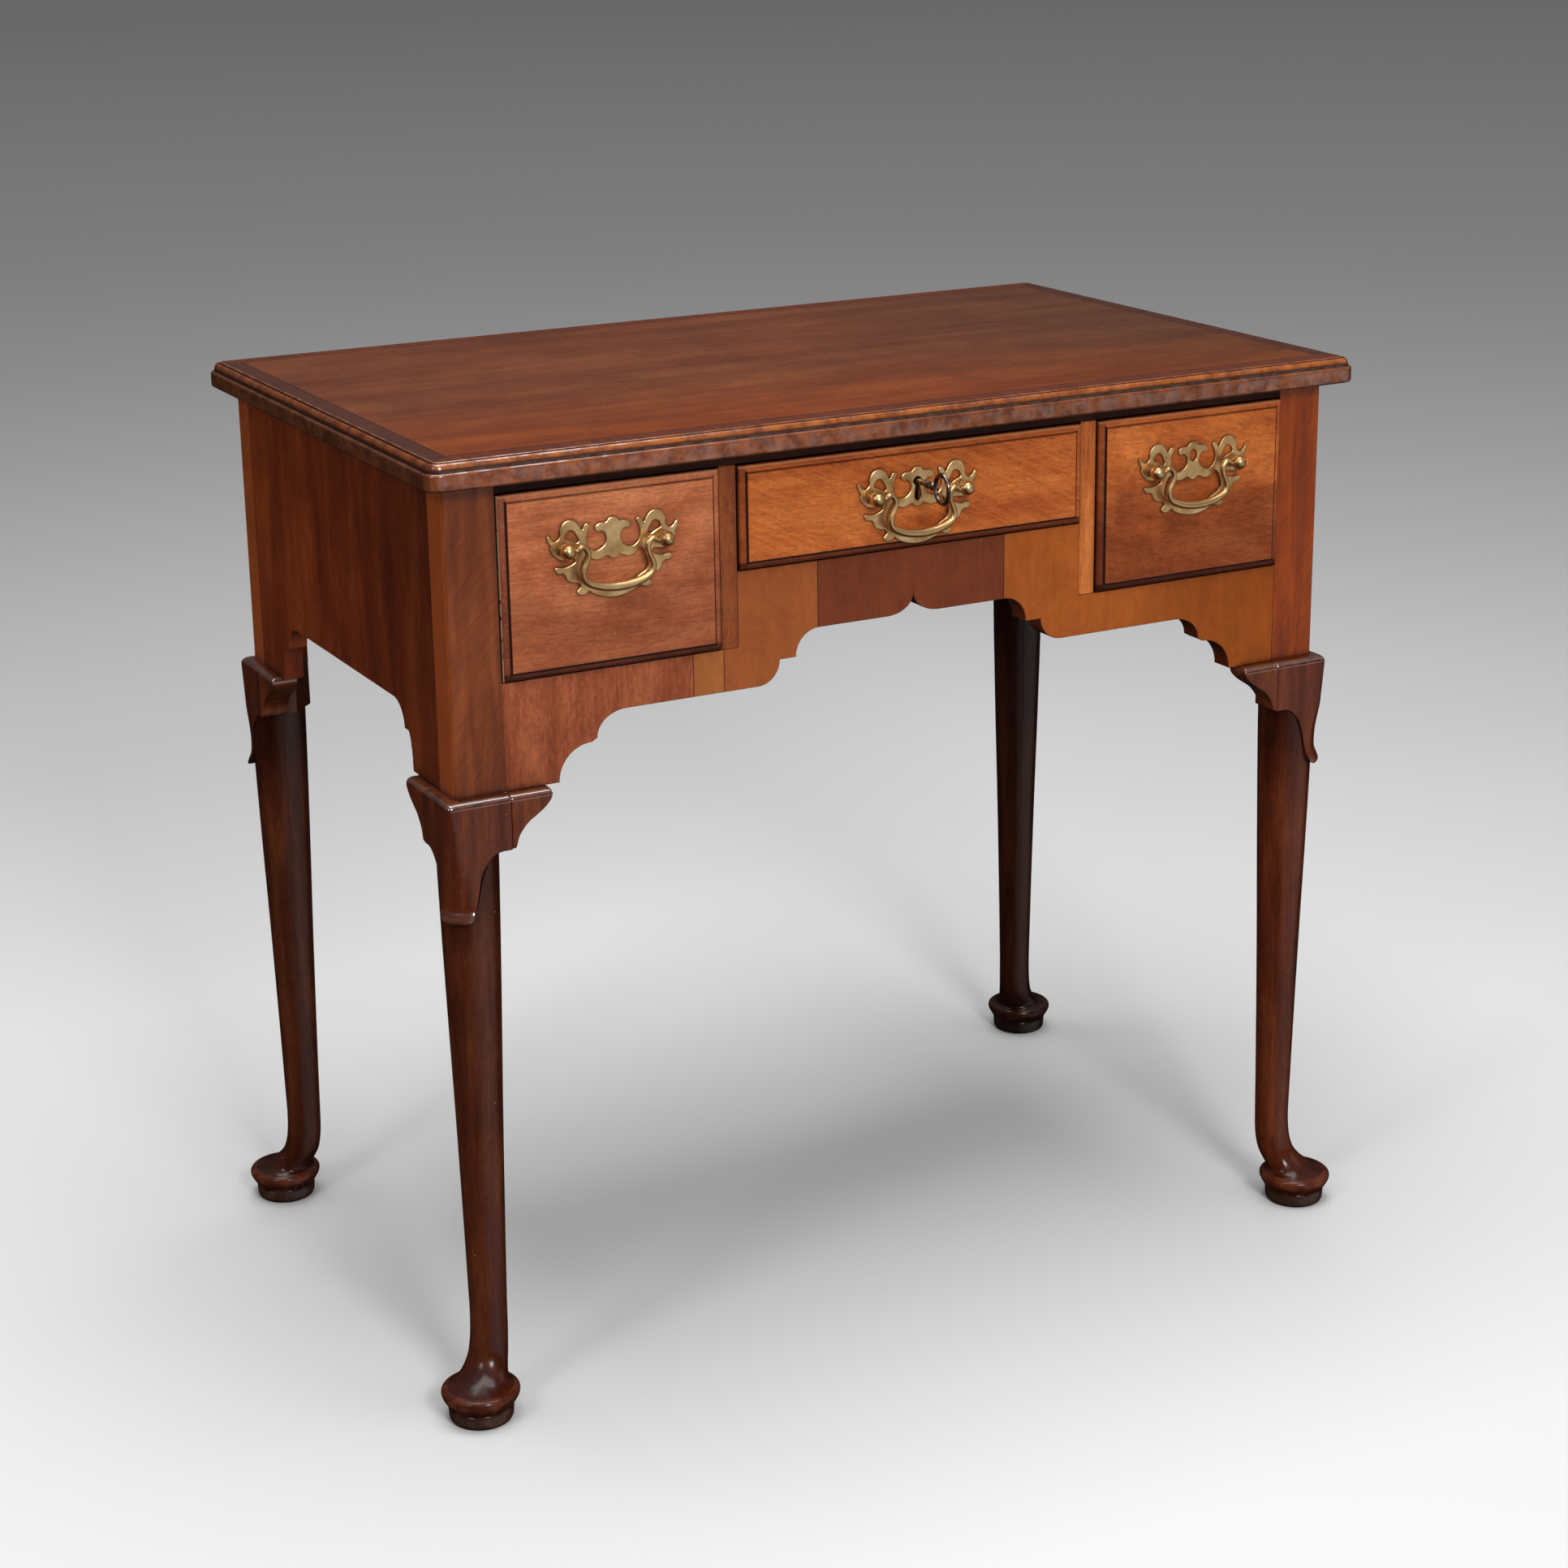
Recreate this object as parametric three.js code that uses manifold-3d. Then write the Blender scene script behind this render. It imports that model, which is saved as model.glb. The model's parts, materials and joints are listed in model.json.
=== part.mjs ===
// A mahogany lowboy: a moulded top on a case of three drawers, over four turned legs with pad feet.
// Millimetres, +Z up, front towards -Y. The origin is under the middle of the whole box, key included.

import * as THREE from "three";
import { mergeVertices } from "three/addons/utils/BufferGeometryUtils.js";
import Module from "manifold-3d";

const wasm = await Module();
wasm.setup();

// Whole piece
const standingHeight = 724;
const caseWidth = 743;
const caseDepth = 433;

// Top board
const topThickness = 19.7;
const topSideOverhang = 17.5;
const topFrontOverhang = 23.5;
const topBackOverhang = 19.5;
const topCornerRadius = 12;
const topArris = 2.2;
const topRidgeInset = 8;
const topQuirkInset = 2.8;
const topOvoloRise = 4.8;

// Legs: square post, proud knee block, lappet, round shaft and pad foot
const postWidth = 39;
const postDepth = 37.5;
const postSideReveal = 26;
const postInnerChamfer = 18;
const kneeProud = 9.5;
const kneeBlockHeight = 40.5;
const kneeRoll = 5;
const kneeCornerRadius = 4;
const kneeShellRadius = 22.5;
const lappetLength = 50;
const lappetFlare = 5;
const shaftKneeRadius = 22.4;
const shaftAnkleRadius = 13.9;
const ankleHeight = 76;
const footRadius = 29.8;
const footOffset = 14.9;

// Knee brackets glued beside each block
const bracketReach = 32;
const bracketThickness = 22;

// Case boards
const sideThickness = 15;
const apronThickness = 20;
const railHeight = 10.3;
const backThickness = 14;
const backSetIn = 2.5;
const dividerThickness = 14;
const apronDepth = 32;
const apronFootDepth = 47;
const sideArchRise = 48;
const backFootDepth = 47;

// Front arch, outside to middle
const frontFootReach = 80.5;
const frontLowerArch = 26;
const frontCuspStep = 4.5;
const frontCuspRise = 2.5;
const frontUpperArch = 23.5;
const frontLobeCentre = 131;
const frontLobeRadius = 18;
const frontFillet = 13.5;
const frontHollowRadius = 19.5;
const frontCrownRise = 38;
const frontNotchWidth = 22;
const frontNotchHeight = 15.5;

// Side arch
const sideFootReach = 78;
const sideLowerWidth = 7;
const sideLowerHeight = 29;
const sideCuspStep = 6.5;
const sideUpperArch = 20.5;

// Drawers
const drawerProud = 5;
const drawerGap = 1;
const middleOpeningWidth = 293;
const frontThickness = 20;
const sideDrawerHeight = 135;
const middleDrawerHeight = 78.5;
const liningThickness = 8;
const dovetailDepth = 12;
const dovetailFlare = 2;
const dovetailNeck = 11;
const dovetailPitch = 30;
const liningDrop = 3;
const liningSetIn = 0.5;
const bottomThickness = 5.4;
const bottomRise = 6;
const grooveDepth = 3;
const seatGap = 0.3;
const mouldWidth = 6;
const mouldRise = 2.8;
const mouldQuirk = 0.9;

// Runners and guides
const runnerWidth = 12;
const runnerHeight = 14;
const guideHeight = 20;

// Handles
const boreSpacing = 76;
const sideHandleRise = 23.5;
const middleHandleRise = 3.3;
const plateThickness = 1.6;
const ballRadius = 6.3;
const ballStandOff = 7;
const collarRadius = 4.6;
const stemRadius = 2.2;
const boreClearance = 0.4;
const nutWidth = 10;
const nutThickness = 3;
const nutProud = 2;
const pintleRadius = 1.7;
const neckRadius = 2;
const gripRadius = 2.9;
const pintleSeat = 3.2;
const pocketDepth = 5;

// Lock and key
const keyRise = 8.5;
const keyholeRadius = 3.1;
const keySlotWidth = 3.2;
const keySlotDrop = 14;
const lockWidth = 44;
const lockBelowKey = 20;
const lockDepth = 10;
const lockWall = 1.8;
const boltWidth = 18;
const boltThickness = 3.4;
const boltThrow = 6.2;
const boltClearance = 0.5;
const keyShankRadius = 2.3;
const keyReach = 45.4;
const bowRadius = 11;
const bowWire = 1.7;
const bitLength = 7.6;
const bitWidth = 2.2;
const bitDepth = 4;
const screwRadius = 2.6;
const screwHead = 0.8;

// One length that a cut runs past a face
const overrun = 2;

// Rounding of the curved parts
const shaftSides = 18;
const cornerSteps = 4;
const arcSteps = 6;
const stemSides = 12;
const bailSides = 8;
const bailSteps = 34;
const bowSteps = 20;

const underTop = standingHeight - topThickness;
const halfCase = caseWidth / 2;
const halfDepth = caseDepth / 2;
const caseFront = -halfDepth;
const openingSide = halfCase - postWidth;
const railUnder = underTop - railHeight;
const sideDrawerSill = railUnder - sideDrawerHeight;
const middleDrawerSill = railUnder - middleDrawerHeight;
const apronEdge = sideDrawerSill - apronDepth;
const kneeLedge = apronEdge - apronFootDepth;
const kneeUnder = kneeLedge - kneeBlockHeight;
const shaftInset = kneeShellRadius - kneeProud;
const drawerFace = caseFront - drawerProud;
const frontBack = drawerFace + frontThickness;
const plateFace = drawerFace - plateThickness;
const apronBack = caseFront + apronThickness;
const backInner = halfDepth - backSetIn - backThickness;
const drawerTop = railUnder - drawerGap;
const middleHalf = middleOpeningWidth / 2;
const runnerUnder = sideDrawerSill - runnerHeight;
const drawerRear = backInner - seatGap;

// The box reaches from the key's bow to the back feet, so the model moves back to centre it
const footReach = halfDepth - shaftInset + footOffset + footRadius;
const originShift = (keyReach - plateFace - footReach) / 2;

const mahogany = { color: 0x6e3420, roughness: 0.35, metalness: 0 };
const darkMahogany = { color: 0x3f1e16, roughness: 0.3, metalness: 0 };
const redMahogany = { color: 0x833e22, roughness: 0.38, metalness: 0 };
const oak = { color: 0xa8794a, roughness: 0.7, metalness: 0 };
const pine = { color: 0xb98f5c, roughness: 0.75, metalness: 0 };
const brass = { color: 0xa98a4b, roughness: 0.35, metalness: 1 };
const steel = { color: 0x7c7468, roughness: 0.4, metalness: 1 };

const lowboy = new THREE.Group();
lowboy.position.y = originShift;

/** Adds one named piece with a material of its own. */
function add(name, geometry, look) {
  const material = new THREE.MeshStandardMaterial({ ...look, flatShading: true });
  const mesh = new THREE.Mesh(geometry, material);
  mesh.name = name;
  lowboy.add(mesh);
  return mesh;
}

/** A rectangular block between two corners. */
function block(x0, x1, y0, y1, z0, z1) {
  const geometry = new THREE.BoxGeometry(x1 - x0, y1 - y0, z1 - z0);
  return geometry.translate((x0 + x1) / 2, (y0 + y1) / 2, (z0 + z1) / 2);
}

/** Extrudes an outline of x, z points from y0 to y1. */
function frontBoard(outline, y0, y1, holes = []) {
  const geometry = extrude(outline, y1 - y0, holes);
  const turn = new THREE.Matrix4().makeBasis(
    new THREE.Vector3(1, 0, 0), new THREE.Vector3(0, 0, 1), new THREE.Vector3(0, -1, 0));
  return geometry.applyMatrix4(turn).translate(0, y1, 0);
}

/** Extrudes an outline of y, z points from x0 to x1. */
function sideBoard(outline, x0, x1) {
  const geometry = extrude(outline, x1 - x0);
  const turn = new THREE.Matrix4().makeBasis(
    new THREE.Vector3(0, 1, 0), new THREE.Vector3(0, 0, 1), new THREE.Vector3(1, 0, 0));
  return geometry.applyMatrix4(turn).translate(x0, 0, 0);
}

/** Extrudes an outline of x, y points from z0 to z1. */
function planBoard(outline, z0, z1) {
  return extrude(outline, z1 - z0).translate(0, 0, z0);
}

/** Extrudes a list of points, with holes, along +Z. */
function extrude(outline, depth, holes = []) {
  const points = outline.map(([u, v]) => new THREE.Vector2(u, v));
  if (THREE.ShapeUtils.isClockWise(points)) points.reverse();
  const shape = new THREE.Shape(points);
  for (const hole of holes) {
    shape.holes.push(new THREE.Path(hole.map(([u, v]) => new THREE.Vector2(u, v))));
  }
  return new THREE.ExtrudeGeometry(shape, { depth, bevelEnabled: false, steps: 1 });
}

/** Points of an elliptical arc; from and to are counted in quarter turns from +u towards +v. */
function arc(cx, cy, rx, ry, from, to, steps = arcSteps) {
  return Array.from({ length: steps + 1 }, (_, i) => {
    const angle = (Math.PI / 2) * (from + ((to - from) * i) / steps);
    return [cx + rx * Math.cos(angle), cy + ry * Math.sin(angle)];
  });
}

/** Points all round an ellipse. */
function round(cx, cy, rx, ry, sides) {
  return arc(cx, cy, rx, ry, 0, 4, sides).slice(0, -1);
}

/** Closes a stack of rings, each a loop of [x, y, z] of the same length, into one body. */
function loft(rings) {
  const count = rings[0].length;
  const positions = rings.flat(2);
  const index = [];
  for (let r = 0; r + 1 < rings.length; r += 1) {
    for (let i = 0; i < count; i += 1) {
      const a = r * count + i;
      const b = r * count + ((i + 1) % count);
      index.push(a, b, b + count, a, b + count, a + count);
    }
  }
  for (const [r, flip] of [[0, true], [rings.length - 1, false]]) {
    const centre = positions.length / 3;
    const ring = rings[r];
    for (let k = 0; k < 3; k += 1) {
      positions.push(ring.reduce((sum, point) => sum + point[k], 0) / count);
    }
    for (let i = 0; i < count; i += 1) {
      const a = r * count + i;
      const b = r * count + ((i + 1) % count);
      index.push(...(flip ? [b, a, centre] : [a, b, centre]));
    }
  }
  const geometry = new THREE.BufferGeometry();
  geometry.setAttribute("position", new THREE.Float32BufferAttribute(positions, 3));
  geometry.setIndex(index);
  return outward(geometry);
}

/** Turns a closed body's faces outwards. */
function outward(geometry) {
  const p = geometry.getAttribute("position");
  const index = geometry.getIndex();
  const a = new THREE.Vector3();
  const b = new THREE.Vector3();
  const c = new THREE.Vector3();
  let volume = 0;
  for (let i = 0; i < index.count; i += 3) {
    a.fromBufferAttribute(p, index.getX(i));
    b.fromBufferAttribute(p, index.getX(i + 1));
    c.fromBufferAttribute(p, index.getX(i + 2));
    volume += a.dot(b.cross(c));
  }
  if (volume < 0) flipFaces(geometry);
  return geometry;
}

/** Reverses the winding of every triangle. */
function flipFaces(geometry) {
  const index = geometry.getIndex();
  for (let i = 0; i < index.count; i += 3) {
    const first = index.getX(i);
    index.setX(i, index.getX(i + 1));
    index.setX(i + 1, first);
  }
  return geometry;
}

/** A geometry with position alone and its shared corners merged. */
function merged(geometry) {
  const bare = geometry.clone();
  bare.deleteAttribute("normal");
  bare.deleteAttribute("uv");
  bare.clearGroups();
  return mergeVertices(bare);
}

/** Mirrors a geometry into another quarter of the plan. */
function mirrored(geometry, sx, sy) {
  const copy = merged(geometry);
  copy.scale(sx, sy, 1);
  return sx * sy < 0 ? flipFaces(copy) : copy;
}

/** The closed body of a geometry, ready to be joined or cut. */
function body(geometry) {
  const bare = merged(geometry);
  const mesh = new wasm.Mesh({
    numProp: 3,
    vertProperties: new Float32Array(bare.getAttribute("position").array),
    triVerts: new Uint32Array(bare.getIndex().array),
  });
  return new wasm.Manifold(mesh);
}

/** Turns a joined or cut body back into a geometry. */
function geometryOf(manifold) {
  const mesh = manifold.getMesh();
  const geometry = new THREE.BufferGeometry();
  geometry.setAttribute("position", new THREE.BufferAttribute(new Float32Array(mesh.vertProperties), 3));
  geometry.setIndex(new THREE.BufferAttribute(new Uint32Array(mesh.triVerts), 1));
  return geometry;
}

/** Joins geometries into one. */
function join(...geometries) {
  return geometryOf(geometries.map(body).reduce((all, next) => all.add(next)));
}

/** Cuts the later geometries out of the first. */
function cut(first, ...others) {
  return geometryOf(others.map(body).reduce((left, next) => left.subtract(next), body(first)));
}

/** Keeps what all the geometries share. */
function common(...geometries) {
  return geometryOf(geometries.map(body).reduce((all, next) => all.intersect(next)));
}

/** A round bar along Y. */
function barAlongY(radius, y0, y1, x, z, sides = stemSides) {
  const geometry = new THREE.CylinderGeometry(radius, radius, y1 - y0, sides);
  return geometry.translate(x, (y0 + y1) / 2, z);
}

/** A round bar along X. */
function barAlongX(radius, x0, x1, y, z, sides = stemSides) {
  const geometry = new THREE.CylinderGeometry(radius, radius, x1 - x0, sides);
  return geometry.rotateZ(Math.PI / 2).translate((x0 + x1) / 2, y, z);
}

/** A turned shape about an axis along Y; the profile is [radius, distance out from the face]. */
function turnedFromFace(profile, x, face, z, sides = stemSides) {
  const points = profile.map(([radius, out]) => new THREE.Vector2(radius, out));
  const geometry = new THREE.LatheGeometry(points, sides);
  return geometry.rotateX(Math.PI).translate(x, face, z);
}

// Top board

/** One ring of the top's edge: a rounded rectangle drawn in by an inset, at a height. */
function topRing(inset, z) {
  const halfX = halfCase + topSideOverhang - inset;
  const front = caseFront - topFrontOverhang + inset;
  const back = halfDepth + topBackOverhang - inset;
  const radius = topCornerRadius - inset;
  const corners = [[halfX - radius, back - radius], [-halfX + radius, back - radius],
    [-halfX + radius, front + radius], [halfX - radius, front + radius]];
  return corners.flatMap(([x, y], turn) =>
    arc(x, y, radius, radius, turn, turn + 1, cornerSteps).map(([u, v]) => [u, v, z]));
}

function makeTop() {
  const quirkHeight = standingHeight - topOvoloRise;
  const arrisShares = [[1, 0], [0.3, 0.3], [0, 1]];
  const under = arrisShares.map(([inShare, upShare]) =>
    topRing(topArris * inShare, underTop + topArris * upShare));
  const over = [...arrisShares].reverse().map(([inShare, downShare]) =>
    topRing(topArris * inShare, quirkHeight - topArris * downShare));
  const ovolo = arc(topRidgeInset, 0, topRidgeInset - topQuirkInset, topOvoloRise, 2, 1, cornerSteps)
    .map(([inset, rise]) => topRing(inset, quirkHeight + rise));
  add("top_board", loft([...under, ...over, ...ovolo]), mahogany);
}

// Legs

/** A section of the knee: a square with its outer corner rounded, reaching out past the case's corner. */
function kneeRing(z, reach, radius) {
  const outerX = halfCase + reach;
  const outerY = halfDepth + reach;
  const innerX = halfCase - postWidth;
  const innerY = halfDepth - postDepth;
  const corner = arc(outerX - radius, outerY - radius, radius, radius, 0, 1);
  const inner = [[innerX, outerY], [innerX, innerY + postInnerChamfer], [innerX + postInnerChamfer, innerY],
    [outerX, innerY]];
  return [...corner, ...inner].map(([x, y]) => [x, y, z]);
}

/** The knee block, its rolled top edge, and the lappet that its corner runs down into. */
function kneeBody() {
  const tipHeight = kneeUnder - lappetLength;
  const roll = arc(0, 0, kneeRoll, kneeRoll, 1, 0, cornerSteps).map(([out, up]) =>
    kneeRing(kneeLedge - kneeRoll + up, kneeProud - kneeRoll + out, kneeCornerRadius));
  // Each row: share of the lappet's length below the block, share of its flare, share of its roundness
  const lappetShares = [[0, 0, 0.45], [0.45, 0.02, 0.85], [0.72, 0.25, 1], [0.87, 0.75, 1], [0.95, 1, 1],
    [1, 0.7, 1]];
  const tongue = lappetShares.map(([downShare, flareShare, roundShare]) => {
    const flare = lappetFlare * flareShare;
    return kneeRing(kneeUnder - lappetLength * downShare, kneeProud + flare,
      (kneeShellRadius + flare) * roundShare);
  });
  const sections = loft([...roll, ...tongue]);
  const curtain = curtainOutline(tipHeight);
  const far = halfCase + halfDepth;
  const fromFront = frontBoard(curtain.map(([inset, z]) => [halfCase - inset, z]), 0, far);
  const fromSide = sideBoard(curtain.map(([inset, z]) => [halfDepth - inset, z]), 0, far);
  return common(sections, fromFront, fromSide);
}

/** The lappet's edge as seen square on: distance in from the case's corner, and height. */
function curtainOutline(tipHeight) {
  // Each row: share of the post's width in from the block's face, share of the lappet's length down
  const curtainShares = [[1.03, 0], [0.9, 0.035], [0.79, 0.1], [0.7, 0.18], [0.64, 0.27], [0.565, 0.48],
    [0.5, 0.7], [0.44, 0.84], [0.37, 0.93], [0.28, 0.98], [0.165, 1]];
  const edge = curtainShares.map(([insetShare, downShare]) =>
    [postWidth * insetShare - kneeProud, kneeUnder - lappetLength * downShare]);
  const outer = -kneeProud - lappetFlare - overrun;
  const inner = postWidth + overrun;
  return [[inner, kneeUnder], ...edge, [outer, tipHeight], [outer, kneeLedge + overrun],
    [inner, kneeLedge + overrun]];
}

/** The round shaft and the offset pad foot under it. */
function shaftBody() {
  const axisX = halfCase - shaftInset;
  const axisY = halfDepth - shaftInset;
  const shaftTop = kneeUnder + kneeRoll;
  // Rows of the shaft: share of the way up from the ankle, share of the taper
  const shaftShares = [[1, 1], [0.89, 0.92], [0.67, 0.69], [0.45, 0.42], [0.23, 0.19], [0.07, 0.05], [0, 0]];
  // Rows of the foot: share of the ankle's height, share of the offset, share of the swell
  const footShares = [[0.815, 0.03, 0.01], [0.685, 0.1, 0.03], [0.58, 0.22, 0.07], [0.487, 0.45, 0.16],
    [0.42, 0.7, 0.3], [0.379, 0.88, 0.485], [0.353, 0.97, 0.7], [0.337, 1, 0.875], [0.321, 1, 0.96],
    [0.3, 1, 1], [0.263, 1, 0.975], [0.21, 1, 0.84], [0.168, 1, 0.715], [0.153, 1, 0.61],
    [0.137, 1, 0.65], [0.112, 1, 0.675], [0.04, 1, 0.65], [0.013, 1, 0.585], [0, 1, 0.48]];
  const rings = shaftShares.map(([upShare, taperShare]) => shaftRing(axisX, axisY,
    ankleHeight + (shaftTop - ankleHeight) * upShare,
    shaftAnkleRadius + (shaftKneeRadius - shaftAnkleRadius) * taperShare));
  for (const [upShare, offsetShare, swellShare] of footShares) {
    const out = footOffset * offsetShare;
    rings.push(shaftRing(axisX + out, axisY + out, ankleHeight * upShare,
      shaftAnkleRadius + (footRadius - shaftAnkleRadius) * swellShare));
  }
  return loft(rings);
}

function shaftRing(x, y, z, radius) {
  return round(x, y, radius, radius, shaftSides).map(([u, v]) => [u, v, z]);
}

/** The square post, its inner corner planed off, notched on its side face where the side board laps it. */
function postBody() {
  const innerX = halfCase - postWidth;
  const innerY = halfDepth - postDepth;
  const notchX = halfCase - sideThickness;
  const notchY = halfDepth - postSideReveal;
  return planBoard([[innerX, innerY + postInnerChamfer], [innerX + postInnerChamfer, innerY],
    [notchX, innerY], [notchX, notchY], [halfCase, notchY], [halfCase, halfDepth], [innerX, halfDepth]],
    kneeLedge, underTop);
}

/** The outline of a knee bracket: distance out from the post's inner face, and height. */
function bracketOutline() {
  // Each row: share of the bracket's reach, share of the block's height from its underside
  const bracketShares = [[0, 0.02], [0.08, 0.03], [0.17, 0.23], [0.38, 0.44], [0.6, 0.56], [0.81, 0.68],
    [0.95, 0.8], [1, 0.9], [0.97, 1], [0, 1]];
  return bracketShares.map(([reachShare, upShare]) =>
    [bracketReach * reachShare, kneeUnder + kneeBlockHeight * upShare]);
}

/** A bracket's section across its length: its outer face is proud of the case and rolls over at the top. */
function bracketSection(half) {
  const rollTop = kneeLedge - kneeRoll;
  const inner = half + kneeProud - bracketThickness;
  return [[inner, kneeUnder - overrun], [half + kneeProud, kneeUnder - overrun],
    ...arc(half + kneeProud - kneeRoll, rollTop, kneeRoll, kneeRoll, 0, 1, cornerSteps),
    [inner, kneeLedge]];
}

/** The bracket along the front, and the one along the side, of the leg at the back right. */
function bracketBodies() {
  const far = halfCase + halfDepth;
  const outline = bracketOutline();
  const postInnerY = halfDepth - postDepth;
  const alongFront = common(frontBoard(outline.map(([out, z]) => [openingSide - out, z]), 0, far),
    sideBoard(bracketSection(halfDepth), 0, far));
  const alongSide = common(sideBoard(outline.map(([out, z]) => [postInnerY - out, z]), 0, far),
    frontBoard(bracketSection(halfCase), 0, far));
  return [alongFront, alongSide];
}

function makeLegs() {
  const leg = join(postBody(), kneeBody(), shaftBody());
  const [alongFront, alongSide] = bracketBodies();
  for (const [side, sx] of [["left", -1], ["right", 1]]) {
    add(`knee_bracket_${side}_front`, mirrored(alongFront, sx, -1), darkMahogany);
    for (const [end, sy] of [["front", -1], ["back", 1]]) {
      add(`leg_${side}_${end}`, mirrored(leg, sx, sy), darkMahogany);
      add(`knee_bracket_${side}_side_${end}`, mirrored(alongSide, sx, sy), darkMahogany);
    }
  }
}

// Case

/** The shaped lower edge of the apron from its right foot to the middle, as x, z points. */
function frontArchHalf() {
  const footX = halfCase - frontFootReach;
  const cuspX = footX - frontLowerArch - frontCuspStep;
  const cuspZ = kneeLedge + frontLowerArch + frontCuspRise;
  const hollowX = frontLobeCentre - frontLobeRadius - frontFillet;
  const hollowZ = apronEdge + frontLobeRadius;
  const crownZ = apronEdge + frontCrownRise;
  return [
    ...arc(footX - frontLowerArch, kneeLedge, frontLowerArch, frontLowerArch, 0, 1),
    ...arc(cuspX - frontUpperArch, cuspZ, frontUpperArch, apronEdge - cuspZ, 0, 1),
    ...arc(frontLobeCentre, hollowZ, frontLobeRadius, frontLobeRadius, 3, 2),
    ...arc(hollowX - frontHollowRadius, hollowZ, frontHollowRadius, crownZ - hollowZ, 0, 1),
    ...arc(frontNotchWidth, crownZ + frontNotchHeight, frontNotchWidth, frontNotchHeight, 3, 2),
  ];
}

function makeApron() {
  const right = frontArchHalf();
  const left = right.slice(0, -1).reverse().map(([x, z]) => [-x, z]);
  const shoulder = middleHalf;
  const outline = [[openingSide, kneeLedge], ...right, ...left, [-openingSide, kneeLedge],
    [-openingSide, sideDrawerSill], [-shoulder, sideDrawerSill], [-shoulder, middleDrawerSill],
    [shoulder, middleDrawerSill], [shoulder, sideDrawerSill], [openingSide, sideDrawerSill]];
  add("front_apron", frontBoard(outline, caseFront, apronBack), redMahogany);
}

/** The lower edge of a side board from its back foot to its middle, as y, z points. */
function sideArchHalf() {
  const footY = halfDepth - sideFootReach;
  const cuspZ = kneeLedge + sideLowerHeight;
  const upperY = footY - sideLowerWidth - sideCuspStep;
  return [
    ...arc(footY - sideLowerWidth, kneeLedge, sideLowerWidth, sideLowerHeight, 0, 1, cornerSteps),
    ...arc(upperY - sideUpperArch, cuspZ, sideUpperArch, kneeLedge + sideArchRise - cuspZ, 0, 1),
  ];
}

function makeSides() {
  const endY = halfDepth - postSideReveal;
  const back = sideArchHalf();
  const front = [...back].reverse().map(([y, z]) => [-y, z]);
  const outline = [[endY, kneeLedge], ...back, ...front, [-endY, kneeLedge],
    [-endY, underTop], [endY, underTop]];
  add("side_board_left", sideBoard(outline, -halfCase, -halfCase + sideThickness), mahogany);
  add("side_board_right", sideBoard(outline, halfCase - sideThickness, halfCase), mahogany);
}

function makeBackAndRail() {
  const boltHole = boltSection(boltClearance, railUnder - overrun, railUnder + boltThrow);
  add("back_board", block(-openingSide, openingSide, backInner, backInner + backThickness,
    kneeLedge + backFootDepth, underTop), oak);
  const rail = block(-openingSide, openingSide, caseFront, apronBack, railUnder, underTop);
  add("front_top_rail", cut(rail, boltHole), mahogany);
}

/** The boards between the drawers: their front ends stand on the apron, under the rail. */
function makeDividers() {
  const outline = [[caseFront, sideDrawerSill], [apronBack, sideDrawerSill], [apronBack, runnerUnder],
    [backInner, runnerUnder], [backInner, underTop], [apronBack, underTop], [apronBack, railUnder],
    [caseFront, railUnder]];
  const divider = sideBoard(outline, middleHalf, middleHalf + dividerThickness);
  add("drawer_divider_left", mirrored(divider, -1, 1), mahogany);
  add("drawer_divider_right", divider, mahogany);
}

/** The runners under the drawers' sides; the outer ones carry a guide that fills out to the posts' line. */
function makeRunners() {
  const panel = halfCase - sideThickness;
  const postInner = halfDepth - postDepth;
  const outerSection = [[openingSide - runnerWidth, runnerUnder], [panel, runnerUnder],
    [panel, sideDrawerSill + guideHeight], [openingSide, sideDrawerSill + guideHeight],
    [openingSide, sideDrawerSill], [openingSide - runnerWidth, sideDrawerSill]];
  const outer = frontBoard(outerSection, -postInner, postInner);
  const innerX = middleHalf + dividerThickness;
  const inner = block(innerX, innerX + runnerWidth, apronBack, backInner, runnerUnder, sideDrawerSill);
  const middle = block(middleHalf - runnerWidth, middleHalf, apronBack, backInner,
    middleDrawerSill - runnerHeight, middleDrawerSill);
  for (const [side, sx] of [["left", -1], ["right", 1]]) {
    add(`runner_outer_${side}`, mirrored(outer, sx, 1), oak);
    add(`runner_inner_${side}`, mirrored(inner, sx, 1), oak);
    add(`runner_middle_${side}`, mirrored(middle, sx, 1), oak);
  }
}

// Drawers

/** A drawer front: a slab with a thumb moulding all round its face. */
function drawerFrontBody(x0, x1, z0, z1) {
  const ring = (inset, y) => [[x0 + inset, y, z0 + inset], [x1 - inset, y, z0 + inset],
    [x1 - inset, y, z1 - inset], [x0 + inset, y, z1 - inset]];
  const quirk = drawerFace + mouldQuirk;
  const flat = mouldWidth - mouldQuirk;
  const ovolo = arc(flat, 0, flat, mouldRise, 2, 1, cornerSteps)
    .map(([inset, rise]) => ring(inset, quirk + mouldRise - rise));
  return loft([ring(0, frontBack), ...ovolo, ring(mouldWidth, drawerFace)]);
}

/** Heights of the tails on a drawer side's front end. */
function tailHeights(low, high) {
  const count = Math.max(1, Math.floor((high - low) / dovetailPitch));
  const step = (high - low) / count;
  return Array.from({ length: count }, (_, i) => low + step * (i + 1 / 2));
}

/** One dovetail as y, z points, wider at its front end. */
function tailOutline(z, slack) {
  const half = dovetailNeck / 2 + slack;
  const front = frontBack - dovetailDepth - slack;
  return [[frontBack, z - half], [frontBack, z + half], [front, z + half + dovetailFlare],
    [front, z - half - dovetailFlare]];
}

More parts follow.
